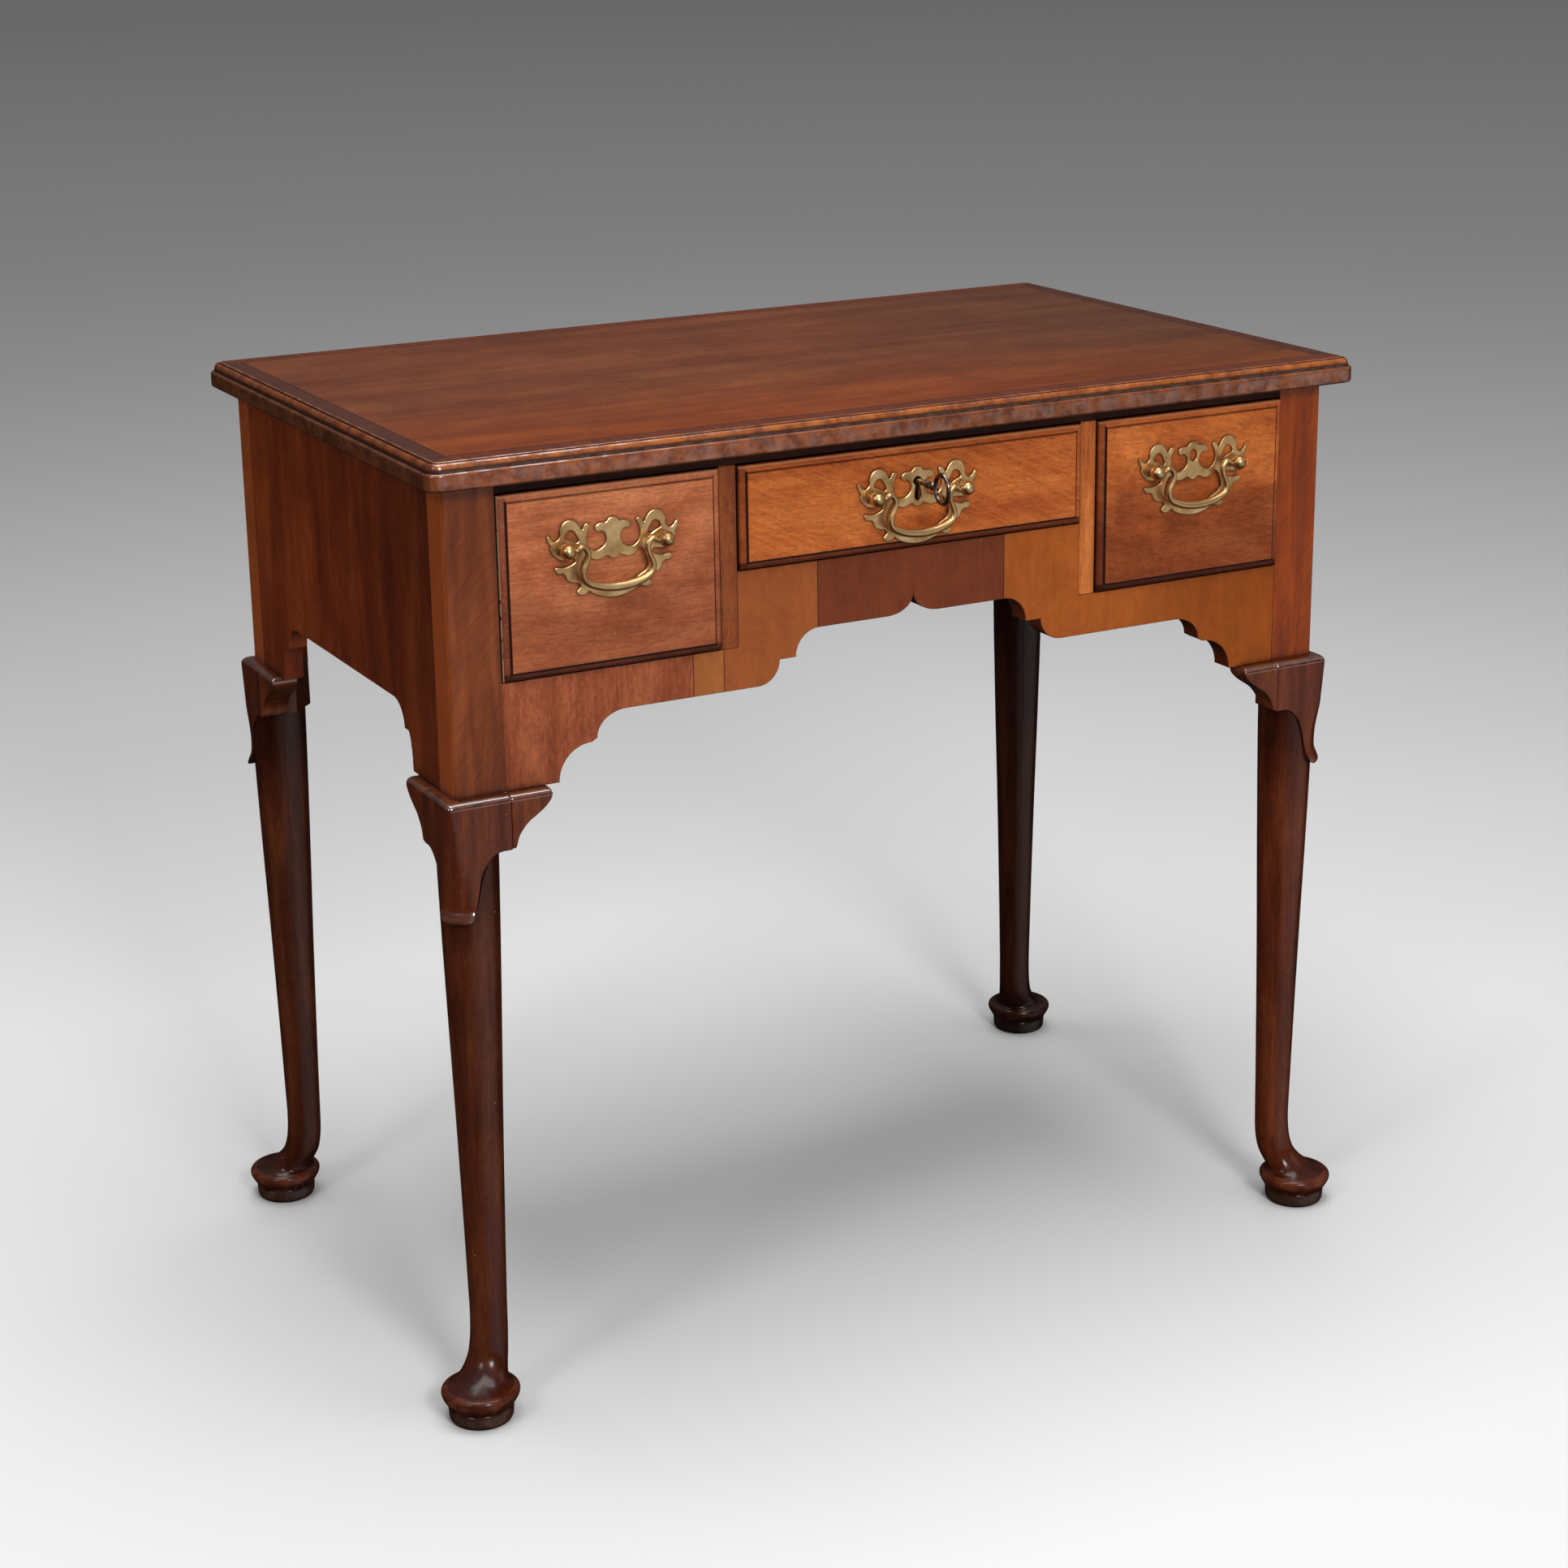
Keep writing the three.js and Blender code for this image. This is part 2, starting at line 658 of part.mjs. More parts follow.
/** A drawer side with its tails, grooved inside for the bottom. */
function liningBody(x0, x1, low, high, grooveX0, grooveX1) {
  const rear = drawerRear;
  const tails = tailHeights(low, high).map((z) => tailOutline(z, 0)).reverse();
  const outline = [[rear, low], [rear, high], [frontBack, high],
    ...tails.flatMap(([a, b, c, d]) => [b, c, d, a]), [frontBack, low]];
  const groove = block(grooveX0, grooveX1, frontBack - dovetailDepth - overrun, rear + overrun,
    low + bottomRise - seatGap, low + bottomRise + bottomThickness + seatGap);
  return cut(sideBoard(outline, x0, x1), groove);
}

/** The five wooden pieces of a drawer between two sides of its opening, over a sill. */
function makeDrawer(name, left, right, sill, extraCuts, handleX, handleZ) {
  const x0 = left + drawerGap;
  const x1 = right - drawerGap;
  const low = sill + seatGap;
  const high = drawerTop - liningDrop;
  const rear = drawerRear;
  const sideLeft = x0 + liningSetIn;
  const sideRight = x1 - liningSetIn;
  const innerLeft = sideLeft + liningThickness;
  const innerRight = sideRight - liningThickness;
  const bottomLow = low + bottomRise;
  const bottomHigh = bottomLow + bottomThickness;
  const sockets = tailHeights(low, high).flatMap((z) => [
    sideBoard(tailOutline(z, seatGap), x0 - overrun, innerLeft + seatGap),
    sideBoard(tailOutline(z, seatGap), innerRight - seatGap, x1 + overrun)]);
  const groove = block(innerLeft - grooveDepth, innerRight + grooveDepth, frontBack - grooveDepth,
    frontBack + overrun, bottomLow - seatGap, bottomHigh + seatGap);
  const bores = [-1, 1].map((end) => barAlongY(stemRadius + boreClearance, drawerFace - overrun,
    frontBack + overrun, handleX + (end * boreSpacing) / 2, handleZ));
  const front = drawerFrontBody(x0, x1, sill + drawerGap, drawerTop);
  add(`drawer_${name}_front`, cut(front, ...sockets, groove, ...bores, ...extraCuts), redMahogany);
  add(`drawer_${name}_side_left`, liningBody(sideLeft, innerLeft, low, high,
    innerLeft - grooveDepth, innerLeft + overrun), oak);
  add(`drawer_${name}_side_right`, liningBody(innerRight, sideRight, low, high,
    innerRight - overrun, innerRight + grooveDepth), oak);
  add(`drawer_${name}_bottom`, block(innerLeft - grooveDepth + seatGap, innerRight + grooveDepth - seatGap,
    frontBack - grooveDepth + seatGap, rear, bottomLow, bottomHigh), pine);
  add(`drawer_${name}_back`, block(innerLeft, innerRight, rear - liningThickness, rear,
    bottomHigh, high - liningDrop), oak);
}

// Handles

/** The right half of the pierced plate's outline from top to bottom, in shares of half the bore spacing. */
const plateHalfShares = [[0, 0.51], [0.08, 0.49], [0.14, 0.43], [0.22, 0.425], [0.3, 0.41], [0.36, 0.35],
  [0.355, 0.29], [0.3, 0.255], [0.245, 0.265], [0.19, 0.235], [0.15, 0.16], [0.15, 0.075], [0.18, 0.01],
  [0.235, -0.04], [0.3, -0.075], [0.37, -0.085], [0.435, -0.06], [0.5, 0], [0.535, 0.075], [0.545, 0.17],
  [0.525, 0.265], [0.49, 0.34], [0.465, 0.4], [0.495, 0.44], [0.56, 0.435], [0.6, 0.38], [0.625, 0.345],
  [0.66, 0.395], [0.72, 0.48], [0.8, 0.535], [0.89, 0.545], [0.98, 0.51], [1.04, 0.44], [1.07, 0.355],
  [1.07, 0.275], [1.1, 0.22], [1.165, 0.185], [1.22, 0.21], [1.27, 0.275], [1.31, 0.295], [1.33, 0.235],
  [1.295, 0.145], [1.265, 0.09], [1.275, 0.02], [1.24, -0.05], [1.185, -0.12], [1.105, -0.175],
  [1.01, -0.2], [0.89, -0.19], [0.8, -0.195], [0.78, -0.235], [0.83, -0.28], [0.92, -0.315],
  [1.015, -0.33], [1.105, -0.315], [1.185, -0.33], [1.18, -0.385], [1.125, -0.44], [1.04, -0.45],
  [0.99, -0.49], [0.96, -0.57], [0.885, -0.63], [0.79, -0.65], [0.71, -0.675], [0.69, -0.72],
  [0.725, -0.765], [0.77, -0.83], [0.725, -0.88], [0.645, -0.9], [0.57, -0.875], [0.51, -0.84],
  [0.465, -0.88], [0.26, -0.97], [0, -1.01]];

/** The right half of the opening that the bail hangs in front of, from top to bottom. */
const plateOpeningShares = [[0, -0.28], [0.07, -0.26], [0.12, -0.215], [0.185, -0.23], [0.265, -0.26],
  [0.37, -0.265], [0.46, -0.22], [0.53, -0.145], [0.62, -0.21], [0.675, -0.33], [0.695, -0.46],
  [0.645, -0.565], [0.54, -0.63], [0.395, -0.715], [0.21, -0.8], [0, -0.835]];

/** The pear-shaped hole in the right loop. */
const plateLoopShares = [[0.85, 0.345], [0.91, 0.33], [0.955, 0.28], [0.965, 0.215], [0.895, 0.175],
  [0.825, 0.14], [0.755, 0.105], [0.705, 0.13], [0.72, 0.2], [0.765, 0.28], [0.8, 0.325]];

/** The right half of the bail's centre line, from its pintle to the middle of the grip. */
const bailHalfShares = [[0.83, 0], [0.79, 0.02], [0.745, 0.06], [0.68, 0.05], [0.615, -0.03], [0.6, -0.12],
  [0.635, -0.24], [0.69, -0.36], [0.71, -0.46], [0.675, -0.57], [0.56, -0.655], [0.38, -0.72],
  [0.18, -0.755], [0, -0.765]];

/** Scales a table of shares to half the bore spacing, at a handle's place. */
function handlePoints(shares, x, z, flip = 1) {
  const unit = boreSpacing / 2;
  return shares.map(([u, v]) => [x + flip * u * unit, z + v * unit]);
}

/** A whole outline from its right half. */
function bothHalves(shares, x, z) {
  const right = handlePoints(shares, x, z);
  const left = handlePoints(shares.slice(1, -1), x, z, -1).reverse();
  return [...right, ...left];
}

/** A keyhole as x, z points: a round top and a slot below it. */
function keyholeOutline(x, z, slack = 0) {
  const radius = keyholeRadius + slack;
  const half = keySlotWidth / 2 + slack;
  const start = Math.asin(half / radius) / (Math.PI / 2);
  return [...arc(x, z, radius, radius, start - 1, 3 - start, stemSides),
    [x - half, z - keySlotDrop], [x + half, z - keySlotDrop]];
}

function plateBody(x, z, holeCutters) {
  const loops = [1, -1].map((flip) => handlePoints(plateLoopShares, x, z, flip));
  const plate = frontBoard(bothHalves(plateHalfShares, x, z), plateFace, drawerFace,
    [bothHalves(plateOpeningShares, x, z), ...loops]);
  const bores = [-1, 1].map((end) => barAlongY(stemRadius + boreClearance, plateFace - overrun,
    drawerFace + overrun, x + (end * boreSpacing) / 2, z));
  return cut(plate, ...bores, ...holeCutters);
}

/** A ball-headed post: stem through the drawer front, collar, ball, and a pocket for the bail's pintle. */
function postPiece(x, z, inwards) {
  const noseFrom = -0.45;
  const nose = arc(0, ballStandOff, ballRadius, ballRadius, noseFrom, 1, arcSteps + cornerSteps);
  const collar = collarRadius;
  const stemOut = plateFace - frontBack - nutThickness - nutProud;
  const profile = [[0, stemOut], [stemRadius, stemOut], [stemRadius, 0], [collar, 0],
    [collar, ballStandOff - ballRadius], ...nose.slice(0, -1), [0, ballStandOff + ballRadius]];
  const pocketFrom = x + inwards * (ballRadius - pocketDepth);
  const pocketTo = x + inwards * (ballRadius + overrun);
  const pocket = barAlongX(pintleRadius + boreClearance, Math.min(pocketFrom, pocketTo),
    Math.max(pocketFrom, pocketTo), plateFace - ballStandOff, z);
  return cut(turnedFromFace(profile, x, plateFace, z), pocket);
}

/** A square nut on a post's stem, behind the drawer front. */
function nutPiece(x, z) {
  const half = nutWidth / 2;
  const nut = block(x - half, x + half, frontBack, frontBack + nutThickness, z - half, z + half);
  return cut(nut, barAlongY(stemRadius + boreClearance, frontBack - overrun,
    frontBack + nutThickness + overrun, x, z));
}

/** The swan-neck bail, thickest in the middle of its grip. */
function bailBody(x, z) {
  const y = plateFace - ballStandOff;
  const seatEnd = boreSpacing / 2 - ballRadius + pintleSeat;
  const right = [[seatEnd * 2 / boreSpacing, 0], ...bailHalfShares];
  const whole = [...right, ...right.slice(0, -1).map(([u, v]) => [-u, v]).reverse()];
  const points = whole.map(([u, v]) => new THREE.Vector3(u * boreSpacing / 2, 0, v * boreSpacing / 2));
  const line = new THREE.CatmullRomCurve3(points, false, "centripetal");
  const rings = [];
  for (let i = 0; i <= bailSteps; i += 1) {
    const t = i / bailSteps;
    const centre = line.getPointAt(t);
    const ahead = line.getTangentAt(t);
    const across = new THREE.Vector3(ahead.z, 0, -ahead.x).normalize();
    const radius = bailRadius(t);
    rings.push(round(0, 0, radius, radius, bailSides).map(([a, b]) =>
      [x + centre.x + across.x * a, y + b, z + centre.z + across.z * a]));
  }
  return loft(rings);
}

/** Radius along the bail: a slim pintle, a neck, and a grip that swells to its middle. */
function bailRadius(t) {
  const fromEnd = Math.min(t, 1 - t) * 2;
  const neckShare = THREE.MathUtils.smoothstep(fromEnd, 0.08, 0.2);
  const gripShare = THREE.MathUtils.smoothstep(fromEnd, 0.55, 1);
  return pintleRadius + (neckRadius - pintleRadius) * neckShare + (gripRadius - neckRadius) * gripShare;
}

function makeHandle(name, x, z, holeCutters) {
  add(`backplate_${name}`, plateBody(x, z, holeCutters), brass);
  add(`bail_${name}`, bailBody(x, z), brass);
  for (const [side, end] of [["left", -1], ["right", 1]]) {
    const postX = x + (end * boreSpacing) / 2;
    add(`handle_post_${name}_${side}`, postPiece(postX, z, -end), brass);
    add(`handle_nut_${name}_${side}`, nutPiece(postX, z), brass);
  }
}

// Lock and key, in the middle drawer

/** The bolt's section between two heights, with slack all round. */
function boltSection(slack, z0, z1) {
  const half = boltWidth / 2 + slack;
  const middle = frontBack - lockDepth / 2;
  const thick = boltThickness / 2 + slack;
  return block(-half, half, middle - thick, middle + thick, z0, z1);
}

function makeLock(keyZ) {
  const half = lockWidth / 2;
  const top = drawerTop - seatGap;
  const low = keyZ - lockBelowKey;
  const face = frontBack - lockDepth;
  const shell = block(-half, half, face, frontBack, low, top);
  const hollow = block(-half + lockWall, half - lockWall, face + lockWall, frontBack - lockWall,
    low + lockWall, top - lockWall);
  const keyhole = frontBoard(keyholeOutline(0, keyZ), face - overrun, face + lockWall + overrun);
  const slot = boltSection(boltClearance, top - lockWall - overrun, top + overrun);
  const heads = lockScrewPlaces(low, top).map(([x, z]) =>
    barAlongY(screwRadius, frontBack - lockWall, frontBack + screwHead, x, z));
  add("lock_case", join(cut(shell, hollow, keyhole, slot), ...heads), brass);
  const boltUnder = keyZ + bitLength + boltClearance + seatGap;
  add("lock_bolt", boltSection(0, boltUnder, top - seatGap), steel);
}

/** Places of the screws' heads in the lock's four corners. */
function lockScrewPlaces(low, top) {
  const inset = screwRadius + lockWall;
  const x = lockWidth / 2 - inset;
  return [[-x, low + inset], [x, low + inset], [-x, top - inset], [x, top - inset]];
}

function makeKey(keyZ) {
  const tip = frontBack - lockWall - boreClearance;
  const bowY = plateFace - keyReach + bowRadius;
  const shank = barAlongY(keyShankRadius, bowY + bowRadius - bowWire, tip, 0, keyZ);
  const collar = barAlongY(keyShankRadius + keyShankRadius / 2, plateFace - keyReach / 3,
    plateFace - keyReach / 3 + bowWire, 0, keyZ);
  const bow = new THREE.TorusGeometry(bowRadius - bowWire, bowWire, bailSides, bowSteps);
  bow.rotateY(Math.PI / 2).translate(0, bowY, keyZ);
  const bit = block(-bitWidth / 2, bitWidth / 2, tip - bitDepth, tip, keyZ - bitLength, keyZ);
  add("key", join(shank, collar, bow, bit), steel);
}

/** What the lock and key need cut from the middle drawer's front. */
function lockCutters(keyZ) {
  const half = lockWidth / 2 + seatGap;
  const top = drawerTop + overrun;
  const low = keyZ - lockBelowKey - seatGap;
  const pocket = block(-half, half, frontBack - lockDepth - seatGap, frontBack + overrun, low, top);
  return [pocket, frontBoard(keyholeOutline(0, keyZ), drawerFace - overrun, frontBack)];
}

/** The plain oval piercing in the right-hand plate. */
function ovalPiercing(x, z) {
  const oval = round(x, z + keyRise, keyholeRadius, keyholeRadius + keySlotWidth / 2, stemSides);
  return frontBoard(oval, plateFace - overrun, drawerFace + overrun);
}

function makeDrawersAndHandles() {
  const inner = middleHalf + dividerThickness;
  const sideX = (inner + openingSide) / 2;
  const sideZ = (sideDrawerSill + railUnder) / 2 + sideHandleRise;
  const middleZ = (middleDrawerSill + railUnder) / 2 + middleHandleRise;
  const keyZ = middleZ + keyRise;
  makeDrawer("left", -openingSide, -inner, sideDrawerSill, [], -sideX, sideZ);
  makeDrawer("middle", -middleHalf, middleHalf, middleDrawerSill, lockCutters(keyZ), 0, middleZ);
  makeDrawer("right", inner, openingSide, sideDrawerSill, [], sideX, sideZ);
  makeHandle("left", -sideX, sideZ, []);
  makeHandle("middle", 0, middleZ,
    [frontBoard(keyholeOutline(0, keyZ), plateFace - overrun, drawerFace + overrun)]);
  makeHandle("right", sideX, sideZ, [ovalPiercing(sideX, sideZ)]);
  makeLock(keyZ);
  makeKey(keyZ);
}

makeTop();
makeLegs();
makeApron();
makeSides();
makeBackAndRail();
makeDividers();
makeRunners();
makeDrawersAndHandles();

export default lowboy;
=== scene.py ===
"""A mahogany lowboy: crossbanded top, three drawers with pierced brass handles, four turned legs with pad feet."""

import json
import math

import bmesh
import bpy
from mathutils import Matrix, Vector

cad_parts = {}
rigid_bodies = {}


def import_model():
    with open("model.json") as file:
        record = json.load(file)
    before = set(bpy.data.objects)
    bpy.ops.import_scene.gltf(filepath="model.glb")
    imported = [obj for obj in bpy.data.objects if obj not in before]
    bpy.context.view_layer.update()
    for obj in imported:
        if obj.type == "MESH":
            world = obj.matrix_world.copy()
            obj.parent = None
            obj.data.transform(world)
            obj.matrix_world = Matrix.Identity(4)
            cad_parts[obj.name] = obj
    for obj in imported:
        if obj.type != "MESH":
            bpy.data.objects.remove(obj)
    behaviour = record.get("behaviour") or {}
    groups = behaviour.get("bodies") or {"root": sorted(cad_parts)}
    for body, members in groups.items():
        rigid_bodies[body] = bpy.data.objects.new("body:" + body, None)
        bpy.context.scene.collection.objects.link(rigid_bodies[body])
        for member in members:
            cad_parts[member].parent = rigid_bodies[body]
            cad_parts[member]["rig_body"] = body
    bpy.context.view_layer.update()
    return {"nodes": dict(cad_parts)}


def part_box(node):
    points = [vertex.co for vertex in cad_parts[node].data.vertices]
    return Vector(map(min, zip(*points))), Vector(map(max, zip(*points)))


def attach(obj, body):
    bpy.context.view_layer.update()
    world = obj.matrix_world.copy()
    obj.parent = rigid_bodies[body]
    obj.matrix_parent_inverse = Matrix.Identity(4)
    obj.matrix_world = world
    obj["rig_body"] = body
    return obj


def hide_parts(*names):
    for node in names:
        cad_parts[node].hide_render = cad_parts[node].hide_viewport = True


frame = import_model()

# Shapes are drawn in millimetres about the middle of the case, and scaled to metres when they are finished
MM = 0.001
BOX_SLACK = 0.01
CURVE_GAP = 0.002
LINE_EDGE = 0.35
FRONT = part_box("front_top_rail")[0].y / MM
MIDDLE_Y = sum(corner.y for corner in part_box("side_board_right")) / 2 / MM
HALF_DEPTH = MIDDLE_Y - FRONT
HALF_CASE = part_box("side_board_right")[1].x / MM
OPENING_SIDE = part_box("front_apron")[1].x / MM
TOP_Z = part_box("top_board")[1].z / MM - BOX_SLACK
UNDER_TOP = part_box("top_board")[0].z / MM
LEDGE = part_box("front_apron")[0].z / MM
POST_WIDTH = HALF_CASE - OPENING_SIDE

# Top board
TOP_HALF_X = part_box("top_board")[1].x / MM
TOP_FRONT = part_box("top_board")[0].y / MM - MIDDLE_Y
TOP_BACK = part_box("top_board")[1].y / MM - MIDDLE_Y
TOP_CORNER = 12
TOP_ARRIS = 2.2
RIDGE_INSET = 8
QUIRK_INSET = 2.8
OVOLO_RISE = 7
BAND_SIDE = 22.5
BAND_FRONT = 25

# Legs
POST_DEPTH = 37.5
POST_REVEAL = 26
POST_ARRIS = 2.2
POST_INNER_CHAMFER = 18
SIDE_THICKNESS = 15
KNEE_PROUD = 9.5
KNEE_HEIGHT = 40.5
KNEE_ROLL = 5
KNEE_CORNER = 4
KNEE_SHELL = 22.5
LAPPET_LENGTH = 50
LAPPET_FLARE = 5
SHAFT_TOP_RADIUS = 22.4
ANKLE_RADIUS = 13.9
ANKLE_HEIGHT = 76
FOOT_RADIUS = 29.3
FOOT_OFFSET = 14.9
KNEE_UNDER = LEDGE - KNEE_HEIGHT
LAPPET_END = KNEE_UNDER - LAPPET_LENGTH
PAD_RIM = ANKLE_HEIGHT * 0.29
AXIS_INSET = KNEE_SHELL - KNEE_PROUD
FAR = HALF_CASE + HALF_DEPTH
CARVING_GRAIN = 0.7
BRACKET_GRAIN = 0.6
GROOVE_WIDTH = 1.8
GROOVE_DEPTH = 2

# Knee brackets
BRACKET_REACH = 32
BRACKET_THICKNESS = 22

# Arches
APRON_THICKNESS = 20
APRON_EDGE = LEDGE + 47
SIDE_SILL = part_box("drawer_divider_left")[0].z / MM + 14
MIDDLE_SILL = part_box("front_apron")[1].z / MM
MIDDLE_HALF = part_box("drawer_divider_right")[0].x / MM

# Drawers
DRAWER_PROUD = 5
MOULD_WIDTH = 6
MOULD_RISE = 2.8
MOULD_QUIRK = 0.9
FACE = -HALF_DEPTH - DRAWER_PROUD
FRONT_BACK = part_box("drawer_left_front")[1].y / MM - MIDDLE_Y
SEAT_GAP = 0.3
TAIL_HALF = 5.5
TAIL_LENGTH = 12
TAIL_SPREAD = 2

# Handles, lock and key
HALF_SPACING = 38
PLATE_THICKNESS = 1.6
PLATE_EDGE = 0.75
PLATE_FACE = FACE - PLATE_THICKNESS
BALL_RADIUS = 5.8
BALL_STAND_OFF = 7
SOCKET_RADIUS = 2.1
SOCKET_DEPTH = 5
STEM_RADIUS = 2.2
BORE_RADIUS = 2.6
KEYHOLE_RADIUS = 3.1
KEYHOLE_HALF_SLOT = 1.6
KEYHOLE_DROP = 14
KEY_RISE = 8.5


# Making meshes

def arc(cx, cy, rx, ry, start, end, steps=14):
    """Points of an elliptical arc, counted in quarter turns from the first axis towards the second."""
    angles = [math.pi / 2 * (start + (end - start) * i / steps) for i in range(steps + 1)]
    return [(cx + rx * math.cos(a), cy + ry * math.sin(a)) for a in angles]


def flowing(points, steps=5):
    """Fills in a smooth line through points, with uneven spacing allowed for."""
    points = [Vector(p) for p in points]
    ends = [points[0] * 2 - points[1], *points, points[-1] * 2 - points[-2]]
    line = []
    for before, start, end, after in zip(ends, ends[1:], ends[2:], ends[3:]):
        spans = [max((b - a).length, 1e-6) ** 0.5 for a, b in ((before, start), (start, end), (end, after))]
        first, span, last = spans
        leave = (start - before) / first - (end - before) / (first + span) + (end - start) / span
        arrive = (end - start) / span - (after - start) / (span + last) + (after - end) / last
        for i in range(steps):
            t = i / steps
            line.append(start * (2 * t**3 - 3 * t**2 + 1) + leave * span * (t**3 - 2 * t**2 + t)
                        + end * (3 * t**2 - 2 * t**3) + arrive * span * (t**3 - t**2))
    return [tuple(p) for p in line] + [tuple(points[-1])]


def ring(bm, points):
    """One closed loop of edges."""
    corners = [bm.verts.new(p) for p in points]
    return [bm.edges.new(pair) for pair in zip(corners, corners[1:] + corners[:1])]


def bridged(bm, loops):
    """A closed body over a stack of loops of edges."""
    for low, high in zip(loops, loops[1:]):
        bmesh.ops.bridge_loops(bm, edges=low + high)
    for end in (loops[0], loops[-1]):
        bmesh.ops.edgeloop_fill(bm, edges=end)
    bmesh.ops.recalc_face_normals(bm, faces=bm.faces)
    return bm


def skin(rings):
    """A closed body over a stack of rings of points."""
    bm = bmesh.new()
    return bridged(bm, [ring(bm, points) for points in rings])


def closed(bm, gap):
    """Joins corners that are nearer than a gap, and turns the faces outwards."""
    bmesh.ops.remove_doubles(bm, verts=bm.verts, dist=gap)
    bmesh.ops.recalc_face_normals(bm, faces=bm.faces)
    return bm


def spun(bm, line, steps=48):
    """A body turned about the Z axis from a line of corners and edges."""
    bmesh.ops.spin(bm, geom=line, cent=(0, 0, 0), axis=(0, 0, 1), dvec=(0, 0, 0),
                   angle=2 * math.pi, steps=steps, use_merge=True, use_duplicate=False)
    return closed(bm, 0.001)


def turned(profile, steps):
    """A body turned about the Z axis from (radius, height) points that start and end on the axis."""
    bm = bmesh.new()
    corners = [bm.verts.new((radius, 0, height)) for radius, height in profile]
    return spun(bm, corners + [bm.edges.new(pair) for pair in zip(corners, corners[1:])], steps)


def circle(bm, radius, place, segments):
    """The corners of a circle, and its edges."""
    corners = bmesh.ops.create_circle(bm, segments=segments, radius=radius, matrix=place)["verts"]
    return corners, list({edge for corner in corners for edge in corner.link_edges})


def block(x0, x1, y0, y1, z0, z1, edge=0.0):
    """A rectangular block, with its edges eased."""
    bm = bmesh.new()
    bmesh.ops.create_cube(bm, size=1)
    bmesh.ops.scale(bm, vec=(x1 - x0, y1 - y0, z1 - z0), verts=bm.verts)
    bmesh.ops.translate(bm, vec=((x0 + x1) / 2, (y0 + y1) / 2, (z0 + z1) / 2), verts=bm.verts)
    if edge:
        bmesh.ops.bevel(bm, geom=bm.edges, offset=edge, affect="EDGES", segments=3, profile=0.5, material=-1)
    return bm


def evaluated(thing, *tools):
    """The mesh that an object's curve and modifiers make, as a bmesh; the object and its tools go."""
    bpy.context.view_layer.update()
    graph = bpy.context.evaluated_depsgraph_get()
    mesh = bpy.data.meshes.new_from_object(thing.evaluated_get(graph))
    bm = bmesh.new()
    bm.from_mesh(mesh)
    bpy.data.meshes.remove(mesh)
    for used in (thing, *tools):
        bpy.data.objects.remove(used)
    return bm


def temporary(data):
    """An object in the scene for as long as a shape is being worked out."""
    thing = bpy.data.objects.new("work", data)
    bpy.context.scene.collection.objects.link(thing)
    return thing


def mesh_of(bm):
    mesh = bpy.data.meshes.new("work")
    bm.to_mesh(mesh)
    bm.free()
    return mesh


def combined(base, others, operation="DIFFERENCE"):
    """Cuts others out of a solid, or joins or intersects it with them."""
    target = temporary(mesh_of(base))
    tools = [temporary(mesh_of(other)) for other in others]
    for tool in tools:
        step = target.modifiers.new("combine", "BOOLEAN")
        step.operation = operation
        step.object = tool
        step.solver = "MANIFOLD"
    return evaluated(target, *tools)


def hand_rounded(bm, grain=CARVING_GRAIN):
    """Softens every edge of a carved solid, as rasps and wax do."""
    target = temporary(mesh_of(bm))
    remesh = target.modifiers.new("remesh", "REMESH")
    remesh.mode = "VOXEL"
    remesh.voxel_size = grain
    ease = target.modifiers.new("ease", "SMOOTH")
    ease.iterations = 5
    return evaluated(target)


def board(outlines, low, high, edge=0.0, rounded=False, steps=2):
    """A flat piece from its outline and holes, standing along Z from low to high, with eased edges."""
    curve = bpy.data.curves.new("work", "CURVE")
    curve.dimensions = "2D"
    curve.fill_mode = "BOTH"
    curve.extrude = (high - low) / 2 - edge
    curve.bevel_depth = edge
    curve.bevel_resolution = steps
    curve.offset = -edge
    curve.resolution_u = 5
    for points in outlines:
        spline = curve.splines.new("BEZIER" if rounded else "POLY")
        spline.use_cyclic_u = True
        knots = spline.bezier_points if rounded else spline.points
        knots.add(len(points) - 1)
        for knot, (u, v) in zip(knots, points):
            if rounded:
                knot.co = (u, v, 0)
                knot.handle_left_type = knot.handle_right_type = "AUTO"
            else:
                knot.co = (u, v, 0, 1)
    return moved(closed(evaluated(temporary(curve)), CURVE_GAP), z=(low + high) / 2)


def facing_front(bm):
    """Stands a flat piece up: its outline in X and Z, and its thickness, low to high, along Y."""
    bm.transform(Matrix(((1, 0, 0, 0), (0, 0, 1, 0), (0, 1, 0, 0), (0, 0, 0, 1))))
    bmesh.ops.reverse_faces(bm, faces=bm.faces)
    return bm


def facing_side(bm):
    """Stands a flat piece up: its outline in Y and Z, and its thickness along X."""
    bm.transform(Matrix(((0, 0, 1, 0), (1, 0, 0, 0), (0, 1, 0, 0), (0, 0, 0, 1))))
    return bm


def softened(node, edge):
    """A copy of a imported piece, its triangles merged back to faces and its edges eased."""
    bm = bmesh.new()
    bm.from_mesh(frame["nodes"][node].data)
    bmesh.ops.remove_doubles(bm, verts=bm.verts, dist=0.01 * MM)
    bmesh.ops.scale(bm, vec=(1 / MM,) * 3, verts=bm.verts)
    bmesh.ops.translate(bm, vec=(0, -MIDDLE_Y, 0), verts=bm.verts)
    bmesh.ops.dissolve_limit(bm, angle_limit=math.radians(1), verts=bm.verts, edges=bm.edges)
    sharp = [e for e in bm.edges if e.calc_face_angle(0) > math.radians(25)]
    bmesh.ops.bevel(bm, geom=sharp, offset=edge, affect="EDGES", segments=2, profile=0.5,
                    material=-1, clamp_overlap=True)
    return bm


